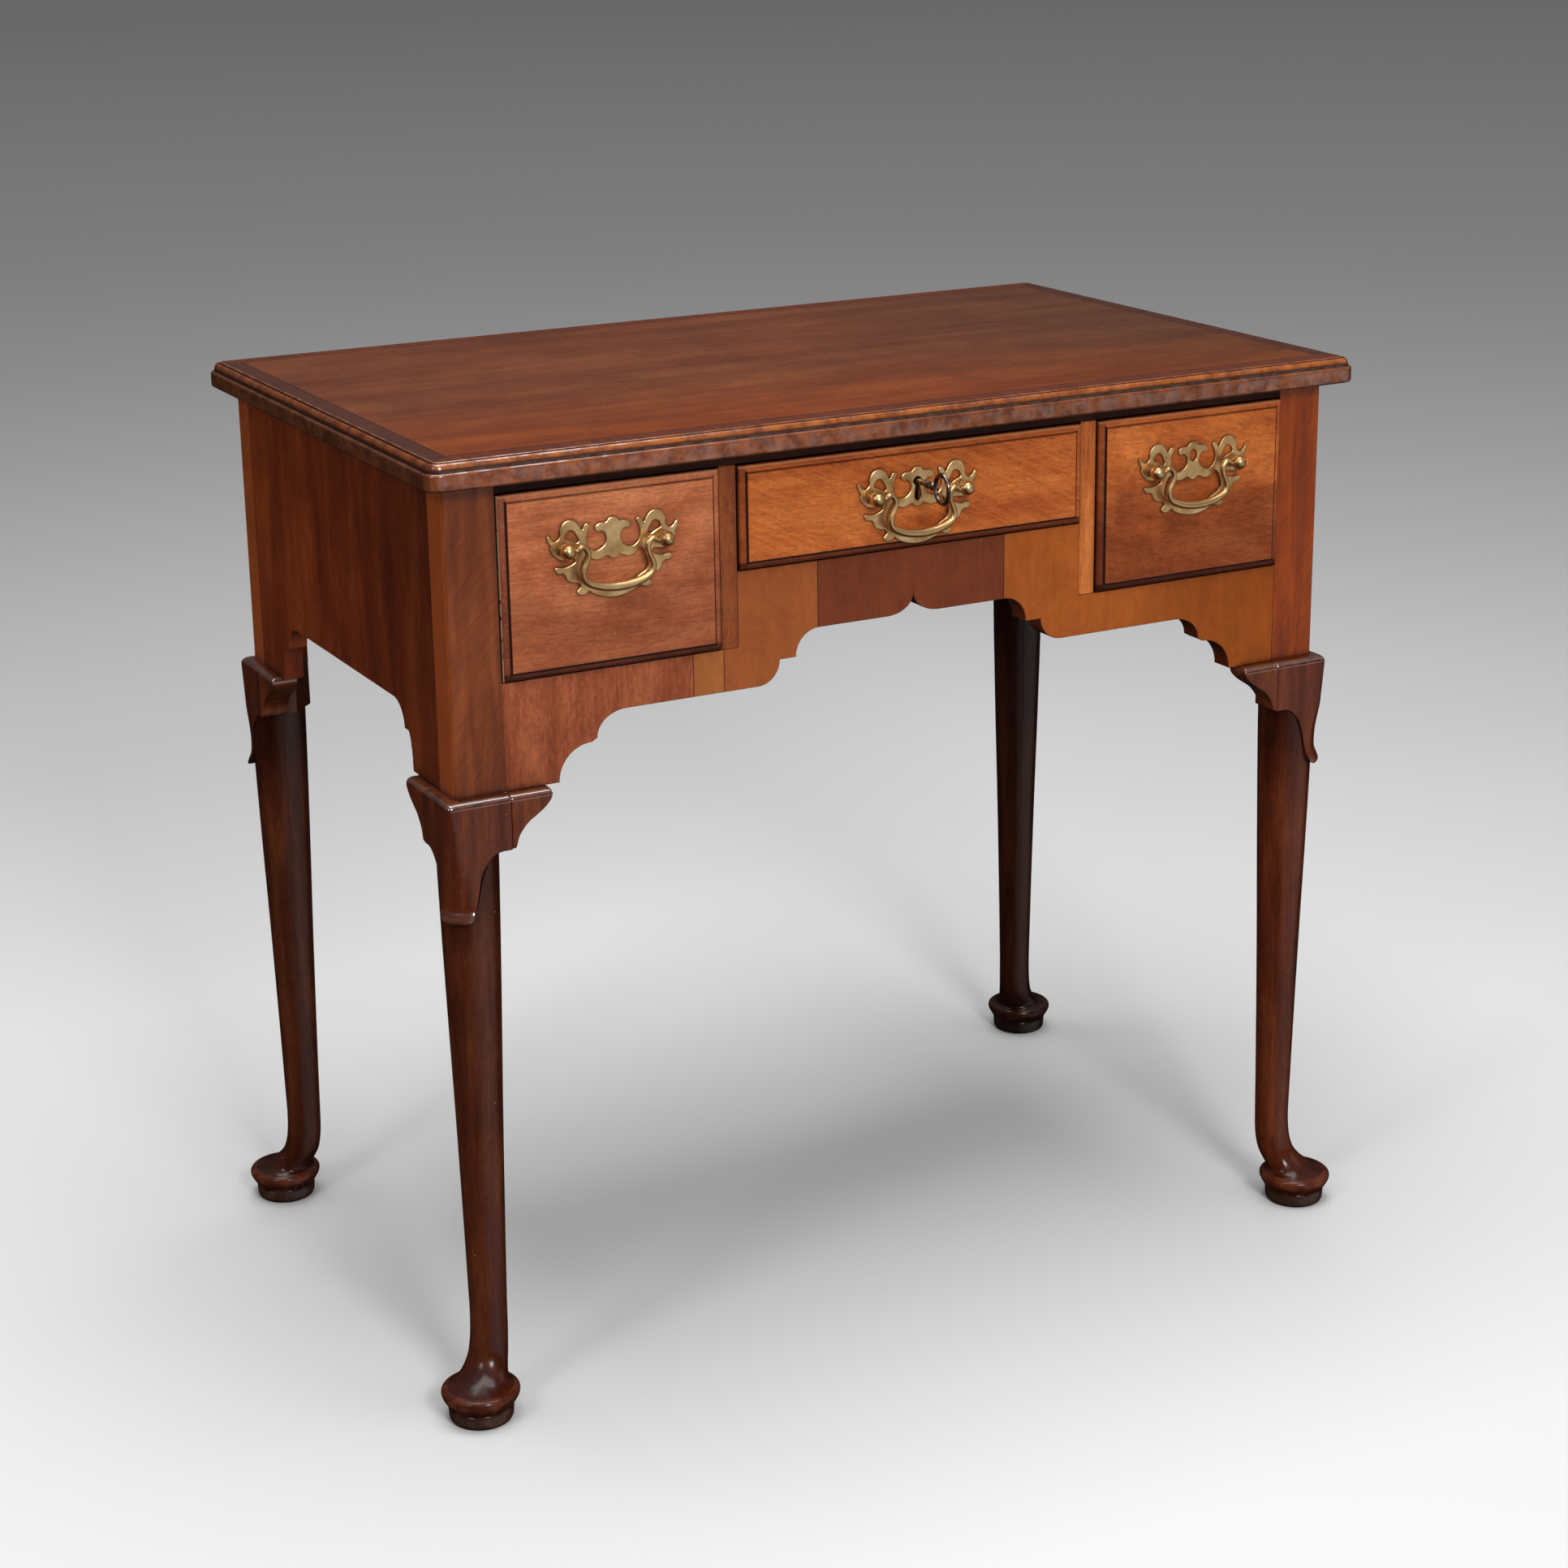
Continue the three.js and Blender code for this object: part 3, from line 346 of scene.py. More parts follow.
def moved(bm, x=0.0, y=0.0, z=0.0):
    bmesh.ops.translate(bm, vec=(x, y, z), verts=bm.verts)
    return bm


def mirrored(bm, sx, sy):
    """A copy in another quarter of the plan, its faces turned out again."""
    copy = bm.copy()
    bmesh.ops.scale(copy, vec=(sx, sy, 1), verts=copy.verts)
    if sx * sy < 0:
        bmesh.ops.reverse_faces(copy, faces=copy.faces)
    return copy


def other_side(points):
    """The same line on the other side of the middle, back to front, without its last point."""
    return [(-u, v) for u, v in reversed(points[:-1])]


def finished(name, bm, node, material, smooth=32):
    """Puts a piece in its place, in metres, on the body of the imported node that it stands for."""
    bmesh.ops.translate(bm, vec=(0, MIDDLE_Y, 0), verts=bm.verts)
    bmesh.ops.scale(bm, vec=(MM,) * 3, verts=bm.verts)
    mesh = mesh_of(bm)
    mesh.name = name
    mesh.shade_smooth()
    mesh.set_sharp_from_angle(angle=math.radians(smooth))
    mesh.materials.append(material)
    piece = bpy.data.objects.new(name, mesh)
    bpy.context.scene.collection.objects.link(piece)
    weights = piece.modifiers.new("flat_faces", "WEIGHTED_NORMAL")
    weights.keep_sharp = True
    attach(piece, frame["nodes"][node]["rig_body"])
    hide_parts(node)
    return piece


# Finishes

def linear(hex_colour):
    """An sRGB hex colour as linear light, with full alpha."""
    channels = [int(hex_colour[i:i + 2], 16) / 255 for i in (1, 3, 5)]
    return (*(c / 12.92 if c <= 0.04045 else ((c + 0.055) / 1.055) ** 2.4 for c in channels), 1.0)


def add(tree, kind, inputs, output=0, stops=(), **settings):
    """Adds a shader node with its settings, sets or links its inputs, and gives one of its outputs."""
    made = tree.nodes.new("ShaderNode" + kind)
    for setting, value in settings.items():
        setattr(made, setting, value)
    for key, value in inputs.items():
        if isinstance(value, bpy.types.NodeSocket):
            tree.links.new(value, made.inputs[key])
        else:
            made.inputs[key].default_value = value
    for i, (position, colour) in enumerate(stops):
        marks = made.color_ramp.elements
        mark = marks[i] if i < len(marks) else marks.new(position)
        mark.position = position
        mark.color = linear(colour)
    return made.outputs[output]


def new_finish(name):
    """A material with its tree and Object coordinates turned to millimetres."""
    material = bpy.data.materials.new(name)
    material.use_nodes = True
    tree = material.node_tree
    place = add(tree, "TexCoord", {}, output="Object")
    return material, tree, add(tree, "Mapping", {"Vector": place, "Scale": (1 / MM,) * 3})


def dressed(tree, colour, rough, surface):
    """Links the shader to its colour, roughness and surface, and gives the shader."""
    shader = tree.nodes["Principled BSDF"]
    for socket, value in (("Base Color", colour), ("Roughness", rough), ("Normal", surface)):
        tree.links.new(value, shader.inputs[socket])
    return shader


def stained(tree, colour, stain, value, start=0.0, end=1.0, most=1.0, blend="MIX"):
    """Lays a stain over a colour: none where a value is at its start, and the most where it is at its end."""
    share = add(tree, "MapRange", {0: value, 1: start, 2: end, 4: most})
    stain = linear(stain) if isinstance(stain, str) else stain
    return add(tree, "Mix", {0: share, 6: colour, 7: stain}, output=2, data_type="RGBA", blend_type=blend)


def tinted(tree, colour, factors, value=1.0, start=0.0, end=1.0):
    """Makes a colour's red, green and blue stronger or weaker, fully where a value is at its end."""
    return stained(tree, colour, (*factors, 1.0), value, start, end, blend="MULTIPLY")


def shaded(tree, colour, pattern, start, end, darkest, lightest):
    """Makes a colour darker and lighter with a pattern."""
    tone = add(tree, "MapRange", {0: pattern, 1: start, 2: end, 3: darkest, 4: lightest})
    return stained(tree, colour, add(tree, "CombineColor", {0: tone, 1: tone, 2: tone}), 1.0, blend="MULTIPLY")


def grained(tree, metric, turn, along, across, offset=0.0, **noise):
    """Noise drawn out along the grain: lengths along and across it are in millimetres."""
    turned_place = add(tree, "Mapping", {"Vector": metric, "Rotation": turn, "Location": (offset,) * 3})
    drawn = add(tree, "Mapping", {"Vector": turned_place, "Scale": (1 / along, 1 / across, 1 / across)})
    settings = {"Scale": 1.0, "Detail": 3.0, "Roughness": 0.55, **noise}
    return add(tree, "TexNoise", {"Vector": drawn, **settings})


def waves(tree, field, count):
    """Narrow waves that follow a slow noise, as growth rings do in a flat-sawn board."""
    steep = add(tree, "Math", {0: field, 1: count}, operation="MULTIPLY")
    return add(tree, "Math", {0: steep}, operation="SINE")


def common(tree, *shares):
    """What several shares of a surface have in common: a share is a value, or a value with its start and end."""
    product = 1.0
    for share in shares:
        if isinstance(share, tuple):
            share = add(tree, "MapRange", dict(enumerate(share)))
        product = add(tree, "Math", {0: product, 1: share}, operation="MULTIPLY")
    return product


def about(limit, soft=0.3):
    """A narrow range on both sides of a limit."""
    return limit - soft, limit + soft


def away_from(tree, value, place):
    """How far a value is from a place, on either side of it."""
    away = add(tree, "Math", {0: value, 1: place}, operation="SUBTRACT")
    return add(tree, "Math", {0: away}, operation="ABSOLUTE")


def line_at(tree, value, place, width):
    """1 on a thin line where a value equals a place."""
    away = away_from(tree, value, place)
    return add(tree, "MapRange", {0: away, 1: width / 2, 2: width / 2 + LINE_EDGE, 3: 1.0, 4: 0.0})


def from_corner(tree, u, v):
    """The distance from a corner, from the distances along two axes."""
    corner = add(tree, "CombineXYZ", {0: u, 1: v})
    return add(tree, "VectorMath", {0: corner}, output="Value", operation="LENGTH")


ALONG_X = (0, 0, 0)
ALONG_Y = (0, 0, math.pi / 2)
ALONG_Z = (0, math.pi / 2, 0)


def wood(name, tones, grain, figure=(190, 26), ripple=0.0, ripple_turn=0.0, roughness=0.34, gloss=0.22,
         pores=0.3, specks=0.6, lines=0.2, rings=0.06, waviness=0.5, detail=None, wax=None, seed=0.0):
    """Hardwood, planed and polished: broad figure, fine streaks, open pores, handling marks, dirt and painted
    shade in corners, painted shade on faces that look down.
    """
    material, tree, metric = new_finish(name)
    dark, middle, light = tones
    broad = grained(tree, metric, grain, *figure, offset=seed, Detail=7.0, Roughness=0.62, Distortion=0.35)
    colour = add(tree, "ValToRGB", {0: broad}, stops=[(0.34, dark), (0.5, middle), (0.66, light)])
    growth = waves(tree, grained(tree, metric, grain, *figure, offset=seed + 5, Detail=1.0, Distortion=0.6), 70)
    colour = shaded(tree, colour, growth, -1, 1, 1 - rings, 1 + rings * 0.6)
    line = grained(tree, metric, grain, 80, 1.5, offset=seed + 11, Detail=5.0, Roughness=0.7)
    colour = shaded(tree, colour, line, 0.32, 0.66, 1 - lines, 1 + lines * 0.5)
    flame = grained(tree, metric, grain, 16, 7, offset=seed + 15, Detail=6.0, Roughness=0.65, Distortion=1.2)
    colour = shaded(tree, colour, flame, 0.35, 0.65, 0.88, 1.1)
    # The grit of cut pores is 0.3 mm wide, and is drawn about 2 mm wide to show at the picture's size
    grit = grained(tree, metric, grain, 3.2, 1.7, offset=seed + 19, Detail=4.0, Roughness=0.7)
    colour = shaded(tree, colour, grit, 0.3, 0.7, 0.8, 1.17)
    # Long pores are drawn about twice as wide as they are, for the same reason
    pore = grained(tree, metric, grain, 8, 0.8, offset=seed + 23, Detail=2.0)
    pore = add(tree, "MapRange", {0: pore, 1: 0.57, 2: 0.66})
    colour = stained(tree, colour, "#250e07", pore, most=pores)
    if ripple:
        turn = tuple(a + b for a, b in zip(grain, (0, ripple_turn, 0)))
        wave = grained(tree, metric, turn, 50, 3.2, offset=seed + 37, Distortion=0.8)
        colour = stained(tree, colour, light, wave, 0.4, 0.62, ripple, "SCREEN")
    if detail:
        colour = detail(tree, metric, colour)
    handled = grained(tree, metric, grain, 60, 60, offset=seed + 51)
    colour = stained(tree, colour, dark, handled, 0.4, 0.7, 0.2, "MULTIPLY")
    cell = add(tree, "Mapping", {"Vector": metric, "Scale": (1 / 21,) * 3})
    spot = add(tree, "TexVoronoi", {"Vector": cell, "Scale": 1.0, "Randomness": 1.0})
    colour = stained(tree, colour, "#c98f6c", spot, 0.032, 0.018, specks)
    # Dirt and painted shade: darker where other surfaces lie within 6 mm, in creases, corners and beside other
    # parts.
    creased = add(tree, "AmbientOcclusion", {"Distance": 6 * MM}, output="AO", samples=4)
    colour = stained(tree, colour, "#180a05", creased, 0.9, 0.35, 0.9)
    # Painted shade: faces that look downwards are darkened.
    facing = add(tree, "NewGeometry", {}, output="Normal")
    upwards = add(tree, "SeparateXYZ", {0: facing}, output=2)
    colour = stained(tree, colour, "#1d0c06", upwards, -0.15, -0.75, 0.75)
    smear = grained(tree, metric, grain, 45, 30, offset=seed + 67)
    rough = add(tree, "MapRange", {0: smear, 1: 0.25, 2: 0.75, 3: roughness - 0.03, 4: roughness + 0.05})
    height = add(tree, "Math", {0: pore, 1: -0.5}, operation="MULTIPLY")
    grainy = add(tree, "Bump", {"Strength": 0.35, "Distance": 0.15 * MM, "Height": height})
    uneven = grained(tree, metric, grain, 90, 28, offset=seed + 81, Detail=1.0)
    surface = add(tree, "Bump", {"Strength": 0.5, "Distance": waviness * MM, "Height": uneven, "Normal": grainy})
    shader = dressed(tree, colour, rough, surface)
    shader.inputs["Specular IOR Level"].default_value = gloss
    if wax:
        tree.links.new(wax(tree, metric), shader.inputs["Coat Weight"])
        shader.inputs["Coat Roughness"].default_value = 0.12
        shader.inputs["Coat IOR"].default_value = 2.2
    return material


def cast_brass(name):
    """Brass, cast, filed and polished: dull olive gold, brown in the corners, bright where it is rubbed."""
    material, tree, metric = new_finish(name)
    patina = grained(tree, metric, ALONG_X, 14, 14)
    colour = add(tree, "ValToRGB", {0: patina}, stops=[(0.3, "#c09663"), (0.52, "#e6bc82"), (0.7, "#f8d6a0")])
    creased = add(tree, "AmbientOcclusion", {"Distance": 4 * MM}, output="AO", samples=4)
    colour = stained(tree, colour, "#3a2a14", creased, 0.65, 0.2, 0.8)
    rubbed = add(tree, "AmbientOcclusion", {"Distance": 1.2 * MM}, output="AO", samples=4, inside=True)
    colour = stained(tree, colour, "#ecd7a2", rubbed, 0.75, 0.25, 0.55)
    rough = add(tree, "MapRange", {0: patina, 1: 0.3, 2: 0.7, 3: 0.42, 4: 0.3})
    dents = grained(tree, metric, ALONG_X, 5, 5)
    surface = add(tree, "Bump", {"Strength": 0.35, "Distance": 0.2 * MM, "Height": dents})
    dressed(tree, colour, rough, surface).inputs["Metallic"].default_value = 1.0
    return material


def worn_steel(name):
    """Wrought steel, forged, filed and handled: warm grey with brown specks of old rust."""
    material, tree, metric = new_finish(name)
    mottle = grained(tree, metric, ALONG_X, 4, 4)
    colour = add(tree, "ValToRGB", {0: mottle}, stops=[(0.35, "#463832"), (0.5, "#77675f"), (0.68, "#a3968c")])
    rough = add(tree, "MapRange", {0: mottle, 1: 0.35, 2: 0.65, 3: 0.5, 4: 0.25})
    surface = add(tree, "Bump", {"Strength": 0.3, "Distance": 0.1 * MM, "Height": mottle})
    dressed(tree, colour, rough, surface).inputs["Metallic"].default_value = 1.0
    return material


def top_insets(tree, metric):
    """How far a place lies in from the top's ends, and from its front and back edges."""
    x, y, _ = add(tree, "SeparateXYZ", {0: metric}).node.outputs
    middle = (TOP_FRONT + TOP_BACK) / 2 + MIDDLE_Y
    halves = ((x, 0, TOP_HALF_X), (y, middle, (TOP_BACK - TOP_FRONT) / 2))
    return [add(tree, "Math", {0: half, 1: away_from(tree, place, centre)}, operation="SUBTRACT")
            for place, centre, half in halves]


def crossbanding(tree, metric, colour):
    """The top's border: a darker band with its grain across it, mitred at the corners, behind a fine joint."""
    x, y, _ = add(tree, "SeparateXYZ", {0: metric}).node.outputs
    colour = tinted(tree, colour, (1.38, 1.02, 0.42), y, -30, -190)
    colour = tinted(tree, colour, (0.7, 0.84, 0.95), x, 40, 330)
    past_x, past_y = (add(tree, "Math", {0: width, 1: inset}, operation="SUBTRACT")
                      for width, inset in zip((BAND_SIDE, BAND_FRONT), top_insets(tree, metric)))
    past = add(tree, "Math", {0: past_x, 1: past_y}, operation="MAXIMUM")
    side = add(tree, "Math", {0: past_x, 1: past_y}, operation="SUBTRACT")
    end_band, front_band = (add(tree, "ValToRGB", {0: grained(tree, metric, turn, 30, 2.2, offset=5)},
                                stops=[(0.3, "#43231a"), (0.7, "#5a3022")]) for turn in (ALONG_X, ALONG_Y))
    band = stained(tree, tinted(tree, front_band, (1.65, 1.2, 0.8)), end_band, side, *about(0, 0.2))
    colour = stained(tree, colour, band, past, *about(0, 0.2))
    colour = stained(tree, colour, "#26110b", line_at(tree, past, 0, 0.6))
    mitre = common(tree, line_at(tree, side, 0, 0.4), (past, *about(0)))
    colour = stained(tree, colour, "#301710", mitre)
    return worn_edge_and_painted_light(tree, metric, colour, x)


def worn_edge_and_painted_light(tree, metric, colour, x):
    """The top's moulding: its round rubbed lighter orange, part wear and part painted highlight, a painted
    highlight along its ridge, dirt and painted shade in its quirks, painted shade on its ends, stained below.
    """
    in_x, in_y = top_insets(tree, metric)
    far = [add(tree, "Math", {0: TOP_CORNER, 1: inset}, operation="SUBTRACT") for inset in (in_x, in_y)]
    reach = from_corner(tree, *(add(tree, "Math", {0: past, 1: 0.0}, operation="MAXIMUM") for past in far))
    inset = add(tree, "Math", {0: TOP_CORNER, 1: reach}, operation="SUBTRACT")
    worn = grained(tree, metric, ALONG_X, 14, 14, offset=61, Detail=5.0, Roughness=0.7)
    worn = add(tree, "MapRange", {0: worn, 1: 0.4, 2: 0.6})
    # The round is lighter orange: wear and painted highlight.
    edge = add(tree, "ValToRGB", {0: worn}, stops=[(0.0, "#7c3e1b"), (1.0, "#b06229")])
    # Painted shade: the round is darker at the ends.
    edge = tinted(tree, edge, (0.62, 0.56, 0.62), in_x, *about(RIDGE_INSET, -0.3))
    colour = stained(tree, colour, edge, inset, RIDGE_INSET, RIDGE_INSET - 0.6)
    face = add(tree, "ValToRGB", {0: worn}, stops=[(0.0, "#6b341c"), (1.0, "#96512c")])
    # Painted shade: the face is darker at the ends.
    face = tinted(tree, face, (0.5, 0.55, 0.55), in_x, *about(3, -0.3))
    face = tinted(tree, face, (0.8, 0.85, 0.85), x, -250, 100)
    colour = stained(tree, colour, face, inset, QUIRK_INSET + 0.4, QUIRK_INSET - 0.2)
    # Painted highlight: a pale, broken line along the ridge.
    pale = common(tree, line_at(tree, inset, RIDGE_INSET + 0.4, 0.7), (worn, 0, 1, 0.05, 0.5))
    colour = stained(tree, colour, "#b97f56", pale)
    # Dark lines in the quirks: dirt and painted shade.
    for quirk, width, tone in ((RIDGE_INSET - 1.2, 0.9, "#230f08"), (QUIRK_INSET, 0.3, "#4a281a")):
        colour = stained(tree, colour, tone, line_at(tree, inset, quirk, width))
    return colour


def waxed_moulding(tree, metric):
    """Wax shines in patches along the top's rounds."""
    in_x, in_y = top_insets(tree, metric)
    inset = add(tree, "Math", {0: in_x, 1: in_y}, operation="MINIMUM")
    worn = grained(tree, metric, ALONG_X, 9, 9, offset=65, Detail=4.0)
    return common(tree, (worn, 0.42, 0.6, 0, 0.6), (inset, RIDGE_INSET + 1.5, RIDGE_INSET + 1))


def proud_of_shaft(tree, metric):
    """1 where the knee and its lappet stand outside the round of the shaft."""
    x, y, _ = add(tree, "SeparateXYZ", {0: metric}).node.outputs
    far = [add(tree, "Math", {0: away_from(tree, place, middle), 1: half - AXIS_INSET}, operation="SUBTRACT")
           for place, middle, half in ((x, 0, HALF_CASE), (y, MIDDLE_Y, HALF_DEPTH))]
    return common(tree, (from_corner(tree, *far), *about(SHAFT_TOP_RADIUS, 0.1)))


def waxed_knee(tree, metric):
    """Thick wax shines on the knee's rolled edge and on the lappet's tip."""
    z = add(tree, "SeparateXYZ", {0: metric}, output=2)
    tip = common(tree, line_at(tree, z, LAPPET_END + 4, 10), proud_of_shaft(tree, metric))
    return add(tree, "Math", {0: line_at(tree, z, LEDGE - 2.4, 5), 1: tip}, operation="MAXIMUM")


def rubbed_ledge_painted_highlight(tree, metric, colour):
    """The rolled top edge of a knee and its ears, painted pale in patches: painted highlight, and wear where
    dusters pass.
    """
    z = add(tree, "SeparateXYZ", {0: metric}, output=2)
    worn = grained(tree, metric, ALONG_X, 10, 6, offset=77, Detail=5.0)
    # Painted highlight along the rolled edge, broken in patches like wear.
    share = common(tree, line_at(tree, z, LEDGE - 1.6, 2.6), (worn, 0.4, 0.62, 0.05, 0.4))
    return stained(tree, colour, "#8c5a44", share)


def legs_and_posts(tree, metric, colour):
    """The knee is redder than the shaft, and the square post above its ledge takes the case's colour."""
    x, y, z = add(tree, "SeparateXYZ", {0: metric}).node.outputs
    proud = proud_of_shaft(tree, metric)
    colour = tinted(tree, colour, (1.2, 1.15, 1.15), common(tree, proud, (z, *about(LAPPET_END - 8))))
    # Painted shadow: the shaft is darker just below and beside the knee block, where it is not proud.
    beside = common(tree, (proud, 1, 0), (z, LAPPET_END - 30, LAPPET_END + 25))
    colour = tinted(tree, colour, (0.5, 0.45, 0.45), beside)
    right = common(tree, (x, *about(0)))
    colour = tinted(tree, colour, (1.3, 1.2, 1.1), right)
    colour = tinted(tree, colour, (0.55, 0.4, 0.35), z, 62, 30)
    worn = grained(tree, metric, ALONG_Z, 12, 12, offset=71, Detail=5.0)
    rim = common(tree, line_at(tree, z, PAD_RIM, 9), (worn, 0.45, 0.6, 0.25, 0.8))
    colour = stained(tree, colour, "#6a3420", rim)
    scuff = grained(tree, metric, ALONG_X, 9, 9, offset=73, Detail=6.0)
    colour = stained(tree, colour, "#7c4530", common(tree, (scuff, 0.55, 0.6), (z, 24, 18)), most=0.5)
    colour = stained(tree, colour, "#3e312a", z, 11, 9, 0.6)
    colour = rubbed_ledge_painted_highlight(tree, metric, colour)
    # Painted highlight on the lappet's tip, broken like wear.
    tip = common(tree, line_at(tree, z, LAPPET_END + 3, 5), proud, (worn, 0.45, 0.6, 0.1, 0.35))
    colour = stained(tree, colour, "#855540", tip)
    colour = stained(tree, colour, post_colour(tree, metric, right), z, *about(LEDGE))
    # Painted shade: the back right leg is darker.
    colour = tinted(tree, colour, (0.35, 0.4, 0.4), common(tree, right, (y, *about(MIDDLE_Y))))
    return painted_shade_inside(tree, x, z, colour)


def post_colour(tree, metric, right):
    """The posts: streaked aslant, darker at the foot, golden on the right, redder on the face towards the side."""
    x, _, z = add(tree, "SeparateXYZ", {0: metric}).node.outputs
    figure = grained(tree, metric, ALONG_Z, 120, 14, offset=3, Distortion=0.8)
    post = add(tree, "ValToRGB", {0: figure}, stops=[(0.34, "#622b10"), (0.5, "#733514"), (0.66, "#85421c")])
    streak = grained(tree, metric, STREAK_TURN, 26, 2.6, offset=9, Detail=4.0, Distortion=0.6)
    post = shaded(tree, post, streak, 0.35, 0.65, 0.86, 1.1)
    post = tinted(tree, post, (0.78, 0.72, 0.7), z, LEDGE + 60, LEDGE + 5)
    post = tinted(tree, post, (1.7, 1.25, 0.1), right)
    outwards = away_from(tree, x, 0)
    return stained(tree, post, "#9a4a22", outwards, *about(HALF_CASE - 0.4))


def painted_shade_inside(tree, x, z, colour):
    """The faces of the posts and knees that look inwards, above the knee's underside, are painted almost black:
    painted shade.
    """
    facing = add(tree, "NewGeometry", {}, output="Normal")
    outwards = common(tree, add(tree, "SeparateXYZ", {0: facing}), add(tree, "Math", {0: x}, operation="SIGN"))
    return tinted(tree, colour, (0.4, 0.4, 0.42), common(tree, (outwards, -0.5, -0.9), (z, *about(KNEE_UNDER))))


def side_ageing(tree, metric, colour):
    """The side is darker towards its front end."""
    return tinted(tree, colour, (0.66, 0.68, 0.75), add(tree, "SeparateXYZ", {0: metric}, output=1), 40, -190)


def apron_patches(tree, metric, colour):
    """The apron's veneer is in lengths: darker red in the middle, golden beside it, with fine joints."""
    x, y, z = add(tree, "SeparateXYZ", {0: metric}).node.outputs
    for place, tone in APRON_LENGTHS:
        strip = grained(tree, metric, ALONG_Z, 80, 9, offset=place, Detail=5.0, Roughness=0.65, Distortion=0.5)
        strip = shaded(tree, linear(tone), strip, 0.3, 0.7, 0.88, 1.1)
        colour = stained(tree, colour, strip, x, *about(place, 0.15))
    for place, _ in APRON_LENGTHS:
        colour = stained(tree, colour, "#3a1c10", line_at(tree, x, place, 0.3))
    swirl = waves(tree, grained(tree, metric, ALONG_Z, 70, 45, offset=8, Detail=1.0, Distortion=1.0), 60)
    colour = shaded(tree, colour, swirl, -1, 1, 0.93, 1.03)
    colour = tinted(tree, colour, (0.76, 0.7, 0.45), x, 190, 260)
    colour = tinted(tree, colour, (0.78, 0.74, 0.72), common(tree, (x, -200, -240), (z, LEDGE + 60, LEDGE + 5)))
    # The sawn edge of the arches behind the veneer is painted nearly black: painted shade.
    return tinted(tree, colour, (0.28, 0.2, 0.2), y, *about(FRONT + 1.2))


# Where each length of the apron's veneer starts, and its colour
APRON_LENGTHS = ((-183.5, "#a96432"), (-158.8, "#9d5429"), (-81, "#75381e"), (79, "#a9581f"))
STREAK_TURN = (0, math.pi / 2 - 0.7, 0)


def drawer_face(name, pale_end=0.0, low_tone=(1, 1, 1)):
    """Dirt and painted shade in the quirk inside a drawer's moulding, painted shade on the moulding, most on its
    left and bottom, a painted highlight on its top rim, pale chips, and colour that is darker lower down.
    """
    low, high = (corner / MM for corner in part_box(f"drawer_{name}_front"))

    def paint(tree, metric, colour):
        x, _, z = add(tree, "SeparateXYZ", {0: metric}).node.outputs
        cloud = grained(tree, metric, ALONG_X, 45, 30, offset=83, Detail=4.0)
        cloud = add(tree, "MapRange", {0: cloud, 1: 0.3, 2: 0.7, 3: -30, 4: 30})
        shaken = add(tree, "Math", {0: z, 1: cloud}, operation="ADD")
        colour = tinted(tree, colour, low_tone, shaken, high.z - 25, low.z + 45)
        insets = [add(tree, "Math", {0: near, 1: far}, operation="SUBTRACT")
                  for near, far in ((x, low.x), (high.x, x), (z, low.z), (high.z, z))]
        left, right, bottom, top = insets
        inset = left
        for other in (right, bottom, top):
            inset = add(tree, "Math", {0: inset, 1: other}, operation="MINIMUM")
        # Painted shade: the moulding is darker, most on its left and bottom.
        for near, factors in ((inset, (0.9, 0.85, 0.9)), (left, (0.6, 0.55, 0.6)), (bottom, (0.3, 0.25, 0.3))):
            colour = tinted(tree, colour, factors, near, MOULD_WIDTH, MOULD_WIDTH - 1)
        # Painted highlight: a pale line along the top of the rim.
        colour = stained(tree, colour, "#d59a70", line_at(tree, top, 1.2, 1.0), most=0.5)
        # Dark lines in the quirk, widest on the left and bottom: dirt and painted shade.
        for near, width, most in zip(insets, (1.5, 0.7, 1.1, 0.5), (0.95, 0.75, 0.95, 0.75)):
            line = common(tree, line_at(tree, near, MOULD_WIDTH - 0.8, width), (inset, *about(MOULD_WIDTH - 2)))
            colour = stained(tree, colour, "#210d09", line, most=most)
        ticks = grained(tree, metric, ALONG_Z, 9, 9, offset=91)
        return stained(tree, colour, "#d9b48c", common(tree, (left, 0.35, 0.15), (ticks, 0.56, 0.6, pale_end, 0)))

    return paint


TOP_WOOD = wood("waxed_mahogany_top", ("#68341d", "#743c21", "#7f4626"), ALONG_X, (260, 40), lines=0.12,
                rings=0.04, detail=crossbanding, roughness=0.28, gloss=0.4, waviness=0.2, wax=waxed_moulding)
SIDE_WOOD = wood("waxed_mahogany_side", ("#6a270b", "#7d320e", "#914013"), ALONG_Z, (220, 40), roughness=0.42,
                 gloss=0.15, detail=side_ageing, seed=7)
# Near-black tones for the rail under the top: painted shadow from the top's overhang.
RAIL_WOOD = wood("waxed_mahogany_rail_painted_shadow", ("#2c130a", "#3a1a0f", "#482314"), ALONG_X, gloss=0.1, seed=13)
DIVIDER_WOOD = {
    "left": wood("waxed_mahogany_divider_left", ("#7f3b1d", "#8f4821", "#9e5629"), ALONG_Z, (90, 12), seed=17),
    "right": wood("waxed_mahogany_divider_right", ("#be662b", "#ce7435", "#db8341"), ALONG_Z, (90, 12), seed=19),
}
APRON_WOOD = wood("waxed_mahogany_apron", ("#90482a", "#a35635", "#b46641"), ALONG_Z, (90, 16), seed=23,
                  detail=apron_patches, gloss=0.15)
LEG_WOOD = wood("waxed_mahogany_leg", ("#3f190b", "#4f2210", "#5e2e17"), ALONG_Z, (150, 12), seed=29,
                roughness=0.17, gloss=0.32, detail=legs_and_posts, wax=waxed_knee)
